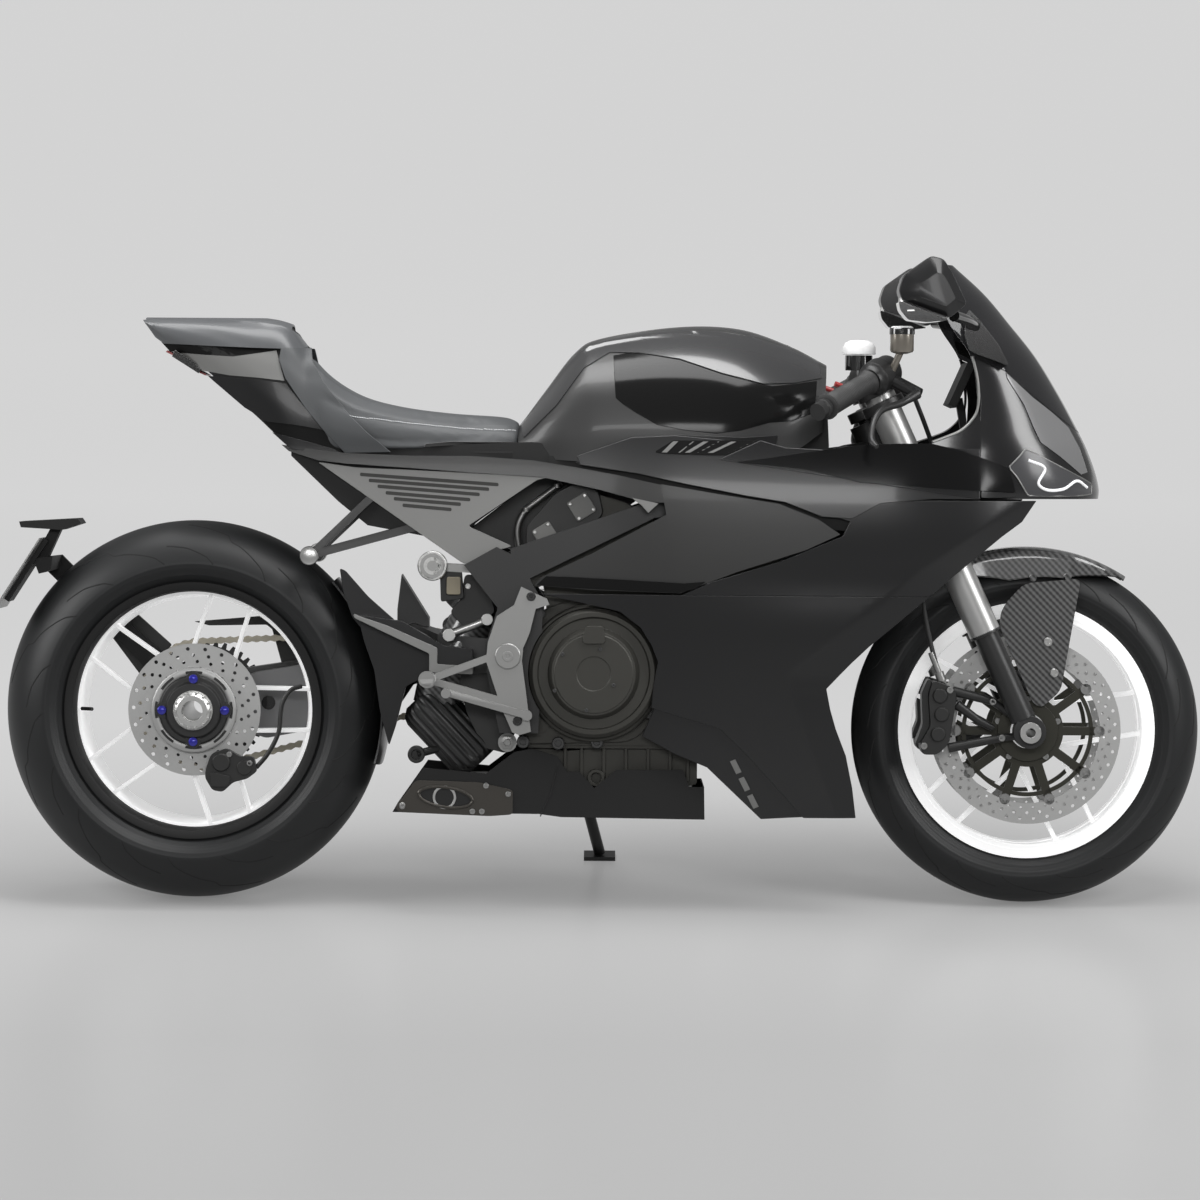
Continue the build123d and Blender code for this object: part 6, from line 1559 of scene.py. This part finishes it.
class ControlsOperator(bpy.types.Operator):
    """Makes the grips, levers, the fluid pot, the stem's cap, the front fender and its blades."""

    bl_idname = "motorcycle.controls"
    bl_label = "Controls and fender"

    def execute(self, context):
        run = GRIP_OUT - GRIP_IN
        ridge = np.linspace(48, 166, 119)
        ridges = list(zip(ridge, 17.6 + (ridge - 48) / 100 + 0.5 * np.cos(ridge * 1.6)))
        grip = [(36, 12), (37, 20), (41, 21.5), (45, 19), *ridges, (168, 21.5), (173, 22), (176, 18)]
        on_steering("grip_pieces", "rubber", both(turned(grip, GRIP_IN, run, 40, closed=False)),
                    replaces=["grips"], sharp=50)
        lever = tube(along(LEVER, 40, smooth=True),
                     np.interp(np.arange(40), (0, 6, 30, 36, 39), (10, 6.5, 5, 6.5, 4)), 12)
        on_steering("switch_housings", "dark_metal",
                    both(turned(HOUSING, GRIP_IN, run, 40, closed=False),
                         turned(BAR_END, GRIP_IN, run, 32, closed=False), lever,
                         rod((1186, -186, 903), (1236, -206, 876), 11)),
                    replaces=["hand_levers"], sharp=35, edge=0.8)
        on_steering("red_buttons", "red_lens", both(rod((1110, -236, 886), (1091, -240, 893), 4.5, 20)))
        self.pots()
        self.fender()
        self.legs()
        return {"FINISHED"}

    def pots(self):
        """Fluid pot and stem's nut with their collars and white caps, all turned about the upright."""
        def upright_turn(profile, foot):
            return turned(profile, foot, (0, 0, 1), 48, closed=False)

        on_steering("fluid_pot", "pot_silver", upright_turn(CUP, POT_FOOT),
                    rod((1202, -208, 946), (1188, -192, 912), 6), replaces=["brake_reservoir"],
                    sharp=35, edge=0.5)
        on_steering("pot_and_stem_collars", "gloss_black", upright_turn(CUP_CAP, POT_FOOT),
                    upright_turn([(-6, 15), (-6, 24), (20, 24), (20, 15)], STEM_TOP), sharp=35, edge=0.6)
        on_steering("white_caps", "cap_white", upright_turn(STEM_WHITE, STEM_TOP),
                    upright_turn(CUP_WHITE, POT_FOOT), sharp=40)

    def fender(self):
        """Arc over the front tyre: at each turn the crown lies 316 from the axle, and its sides go down to a
        radius of their own, which meets the crown at the pointed front."""
        turn = np.linspace(57, 114, 60)[:, None]
        share = np.linspace(-1, 1, 41)[None, :]
        low = np.interp(turn, *np.array(FENDER_TURNS, float).T)
        flat = np.minimum(np.abs(share) / 0.72, 1)
        down = np.clip((np.abs(share) - 0.72) / 0.28, 0, 1)
        r = 316 - 7 * flat ** 3
        r = r + (np.minimum(low, r) - r) * down
        half = np.interp(turn, (57, 64, 75, 114), (22, 52, 67, 67)) * np.sign(share) * (flat + 0.04 * down)
        angle = np.radians(turn)
        outer = np.stack((FRONT_X + r * np.cos(angle), half, FRONT_Z + r * np.sin(angle)), -1)
        inner = np.stack((FRONT_X + (r - 2.5) * np.cos(angle), half * 0.96,
                          FRONT_Z + (r - 2.5) * np.sin(angle)), -1)
        tabs = [rod((x, -90, z), (x, -66, z), 6, 16) for x, z in ((1440, 564), (1500, 567))]
        on_steering("fender_piece", "carbon_twill", wall(outer, inner),
                    both(slab(rounded(FENDER_BLADE, 14), -92, -88)), both(*tabs),
                    replaces=["front_fender"], sharp=40, edge=0.5)
        on_steering("blade_bolts", "bright_steel", both(bolts([(1466, 455), (1477, 402)], -92, 7.5, 0.5)),
                    sharp=40)

    def legs(self):
        """Fork legs with their collars, axle clamps and lugs, and the discs' carrier centres."""
        legs = []
        for y in (-105, 105):
            legs += [rod(up_fork(24, y), up_fork(205, y), 21.5, 48),
                     rod(up_fork(182, y), up_fork(188, y), 27.5, 48),
                     turned(band(-19, 19, 17, 28), (FRONT_X, y, FRONT_Z), steps=48),
                     rod(up_fork(8, y) + (14, 0, 0), up_fork(48, y) + (12, 0, 0), 9, 24)]
        on_steering("fork_leg_pieces", "dark_metal", *legs, replaces=["fork_legs"], sharp=35, edge=0.8)
        rings = [turned(band(y, y * 69 / 62, 106, 113), FRONT) for y in (-62, 62)]
        on_front_wheel("carrier_centres", "carrier_anodised", both(turned(CENTRE, FRONT, steps=64)), *rings,
                       sharp=35, edge=0.6)


# ---------------------------------------------------------------- calipers and chain
CALIPER = [(1268, 388), (1302, 377), (1310, 362), (1297, 280), (1277, 261), (1251, 261), (1247, 280),
           (1265, 310), (1261, 362)]
CALIPER_ARMS = [[(1303, 370), (1374, 352), (1420, 318)], [(1296, 272), (1389, 290), (1424, 294)],
                [(1310, 347), (1350, 318), (1374, 306)]]
REAR_CALIPER = [(22, 229), (31, 253), (57, 262), (81, 248), (104, 248), (110, 223), (93, 210), (69, 204),
                (51, 187), (33, 190), (20, 212)]
REAR_CALIPER_HOSE = [(108, -60, 229), (128, -62, 253), (146, -62, 289), (154, -60, 343), (169, -60, 364),
                     (186, -64, 370)]
CALIPER_EDGE = [(1268, 388), (1261, 362), (1265, 310), (1247, 280), (1240, 280), (1252, 312), (1250, 366),
                (1260, 390)]
FRONT_FITTINGS = [(1254, 276, -108), (1298, 372, -108), (1372, 352, -100), (1388, 290, -100)]
ARM_BOX = [(40, 300), (52, 372), (102, 390), (212, 408), (212, 292), (118, 274)]
CHAIN_GUARD = [(-17, 473), (10, 466), (111, 468), (121, 460), (138, 400), (172, 400), (172, 421), (120, 485)]
AXLE_BLOCK = [(-167, 456), (-128, 498), (-54, 432), (-106, 375)]
CHAIN_Y, CHAIN_PITCH = 146, 15.875
# x, level and teeth of the wheels that the chain runs round
CHAIN_WHEELS = ((0.0, REAR_Z, 44), (620.0, 425.0, 17))


class CalipersOperator(bpy.types.Operator):
    """Makes the calipers with their arms, bolts and fittings, the chain and its guard."""

    bl_idname = "motorcycle.calipers"
    bl_label = "Calipers and chain"

    def execute(self, context):
        self.front()
        self.rear()
        piece("arm_box", "arm_grey", slab(rounded(ARM_BOX, 6), 48, 64), edge=2.0)
        plug = turned([(-3, 4), (-3, 12), (2, 12), (2, 9), (-1, 8), (-1, 0.01)], (122, 48, 336), steps=32,
                      closed=False)
        piece("arm_box_plug", "gloss_black", plug, sharp=35)
        piece("drive_chain_links", "chain_bronze", *self.chain(), replaces=["drive_chain"], sharp=40)
        piece("chain_guard", "cast_black", slab(rounded(CHAIN_GUARD, 3), 156, 160),
              slab(rounded(AXLE_BLOCK, 4), 136, 147), edge=1.5, slot="matte_black")
        return {"FINISHED"}

    def front(self):
        """Two halves and a bridge, three arms to the fork leg, the pistons' caps and the hose's union."""
        shapes = [slab(rounded(CALIPER, 8), -108, -72), slab(rounded(CALIPER, 8), -60, -44),
                  slab(rounded(CALIPER_EDGE, 5), -100, -50)]
        for arm in CALIPER_ARMS:
            line = np.array([(x, -97 + k * 3, z) for k, (x, z) in enumerate(arm)])
            shapes.append(tube(along(line, 12), np.linspace(8.5, 6, 12), 12))
        shapes += [boss([(-4, 13), (3, 13), (5, 11), (5, 0.01)], (x, -107, z))
                   for x, z in ((1281, 362), (1284, 330), (1278, 296))]
        on_steering("front_caliper_pieces", "cast_black", both(*shapes),
                    replaces=["front_calipers"], sharp=35, edge=1.8)
        union = [rod((1265, -98, 436), (1281, -98, 396), 5.2), rod((1279, -98, 402), (1284, -98, 388), 8)]
        heads = [bolt((x, y, z), RIGHT, 6) for x, z, y in FRONT_FITTINGS]
        on_steering("caliper_fittings", "brushed_alloy", both(*union, *heads), sharp=35)

    def rear(self):
        """Caliper with two pistons' caps, a lug and its hose."""
        caps = [boss([(-4, 16), (3, 16), (5, 14), (5, 0.01)], (48, -65, 238), 40),
                boss([(-4, 13), (2, 13), (3, 12), (3, 0.01)], (88, -65, 229), 40)]
        lug = rounded([(30, 196), (60, 196), (66, 214), (30, 222)], 6)
        piece("rear_caliper_piece", "cast_black", slab(rounded(REAR_CALIPER, 6), -66, -44), *caps,
              slab(lug, -70, -60), tube(along(REAR_CALIPER_HOSE, 40, smooth=True), 4.0, 10),
              replaces=["rear_caliper"], sharp=35, edge=1.5)
        piece("rear_caliper_bolts", "brushed_alloy", bolts([(36, 202), (97, 237), (62, 252)], -66, 5),
              sharp=40)

    def chain(self):
        """Links along the loop of two straight runs and two arcs: plates, rollers and pins at every pitch."""
        (x0, z0, r0), (x1, z1, r1) = ((x, z, CHAIN_PITCH * teeth / (2 * pi)) for x, z, teeth in CHAIN_WHEELS)
        lean = np.arctan2(z1 - z0, x1 - x0)
        open_by = np.arccos((r0 - r1) / np.hypot(x1 - x0, z1 - z0))
        ahead = np.linspace(lean + open_by, lean - open_by, 30)
        behind = np.linspace(lean - open_by, lean + open_by - 2 * pi, 60)
        loop = np.vstack((np.column_stack((x1 + r1 * np.cos(ahead), z1 + r1 * np.sin(ahead))),
                          np.column_stack((x0 + r0 * np.cos(behind), z0 + r0 * np.sin(behind)))))
        loop = np.vstack((loop, loop[:1]))
        length = np.linalg.norm(np.diff(loop, axis=0), axis=1).sum()
        pins = along(loop, int(round(length / CHAIN_PITCH / 2)) * 2 + 1)
        turn = np.arange(8) / 7 * pi + pi / 2
        end = np.column_stack((np.cos(turn), np.sin(turn))) * 6.2
        for k, (p, q) in enumerate(zip(pins, pins[1:])):
            way = (q - p) / np.linalg.norm(q - p)
            half = np.vstack((end, ((np.linalg.norm(q - p) / 2, -3.8),)))
            axes = np.array((way, (-way[1], way[0])))
            outline = np.vstack((half @ axes + p, (half * -1) @ axes + q))
            out = 3.2 if k % 2 else 1.6
            for y in (CHAIN_Y - 3 - out, CHAIN_Y + 1.5 + out):
                yield slab(outline, y, y + 1.5)
            for reach, r, steps in ((6.6, 2.8, 8), (3.5, 5.0, 10)):
                yield rod((p[0], CHAIN_Y - reach, p[1]), (p[0], CHAIN_Y + reach, p[1]), r, steps)


# ---------------------------------------------------------------- pieces shown with their own meshes
# finish of each node, its body and the rounding of its edges
PLAIN = {
    "foot_hangers": ("brushed_alloy", "chassis", 1.0), "foot_levers": ("brushed_alloy", "chassis", 1.0),
    "pillion_hangers": ("cast_grey", "chassis", 1.0), "left_covers": ("engine_casting", "chassis", 1.5),
    "main_frame": ("dark_metal", "chassis", 2.0), "engine": ("engine_casting", "chassis", 2.5),
    "swingarm": ("cast_grey", "chassis", 3.0), "shock_absorber": ("dark_metal", "chassis", 1.0),
    "oil_reservoir": ("brushed_alloy", "chassis", 1.0), "belly_pan": ("matte_black", "chassis", 1.5),
    "exhaust_box": ("bright_steel", "chassis", 1.5), "dashboard": ("matte_black", "chassis", 1.5),
    "tail_light": ("gloss_black", "chassis", 0.5), "undertail": ("matte_black", "chassis", 1.0),
    "plate_holder": ("matte_black", "chassis", 1.5), "number_plate": ("brushed_alloy", "chassis", 0.6),
    "radiator": ("dark_metal", "chassis", 1.0), "lower_yoke": ("dark_metal", "steering", 1.5),
    "upper_yoke": ("dark_metal", "steering", 1.5), "fork_sleeves": ("sleeve_silver", "steering", 0.5),
    "front_axle": ("bright_steel", "steering", 0.6), "clip_ons": ("dark_metal", "steering", 0.8),
    "brake_hoses": ("rubber", "steering", 0.0), "disc_carriers": ("carrier_anodised", "front_wheel", 0.8),
    "rear_sprocket": ("dark_metal", "rear_wheel", 0.3), "side_stand": ("dark_metal", "side_stand", 1.0),
}


class FittingsOperator(bpy.types.Operator):
    """Finishes the smaller CAD pieces with rounded edges and their metals."""

    bl_idname = "motorcycle.fittings"
    bl_label = "Fittings"

    def execute(self, context):
        slots = {row["node"]: row["material_slot"] for row in frame["record"]["subparts"]}
        for node, (look, body, edge) in PLAIN.items():
            polished(node, look, slots[node], body, edge)
        return {"FINISHED"}


OPERATORS = (StageOperator, TyresOperator, RimsOperator, DiscsOperator, PanelsOperator, NoseOperator,
             BodyOperator, RearOperator, EngineOperator, ControlsOperator, CalipersOperator, FittingsOperator)


class MotorcyclePanel(bpy.types.Panel):
    """Lists the operators and their sizes and colours."""

    bl_idname = "VIEW3D_PT_motorcycle"
    bl_label = "Motorcycle"
    bl_space_type = "VIEW_3D"
    bl_region_type = "UI"
    bl_category = "Motorcycle"

    def draw(self, context):
        for operator in OPERATORS:
            self.layout.operator(operator.bl_idname)
        for group in (context.scene.motorcycle_sizes, context.scene.motorcycle_colours):
            for key in type(group).__annotations__:
                self.layout.prop(group, key)


CLASSES = (MotorcycleSizes, MotorcycleColours, *OPERATORS, MotorcyclePanel)


def register():
    for one in CLASSES:
        bpy.utils.register_class(one)
    bpy.types.Scene.motorcycle_sizes = bpy.props.PointerProperty(type=MotorcycleSizes)
    bpy.types.Scene.motorcycle_colours = bpy.props.PointerProperty(type=MotorcycleColours)


def unregister():
    del bpy.types.Scene.motorcycle_colours
    del bpy.types.Scene.motorcycle_sizes
    for one in reversed(CLASSES):
        bpy.utils.unregister_class(one)


def main():
    """Builds every piece in order."""
    register()
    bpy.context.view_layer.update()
    for operator in OPERATORS:
        group, name = operator.bl_idname.split(".")
        getattr(getattr(bpy.ops, group), name)()


if __name__ == "__main__":
    main()
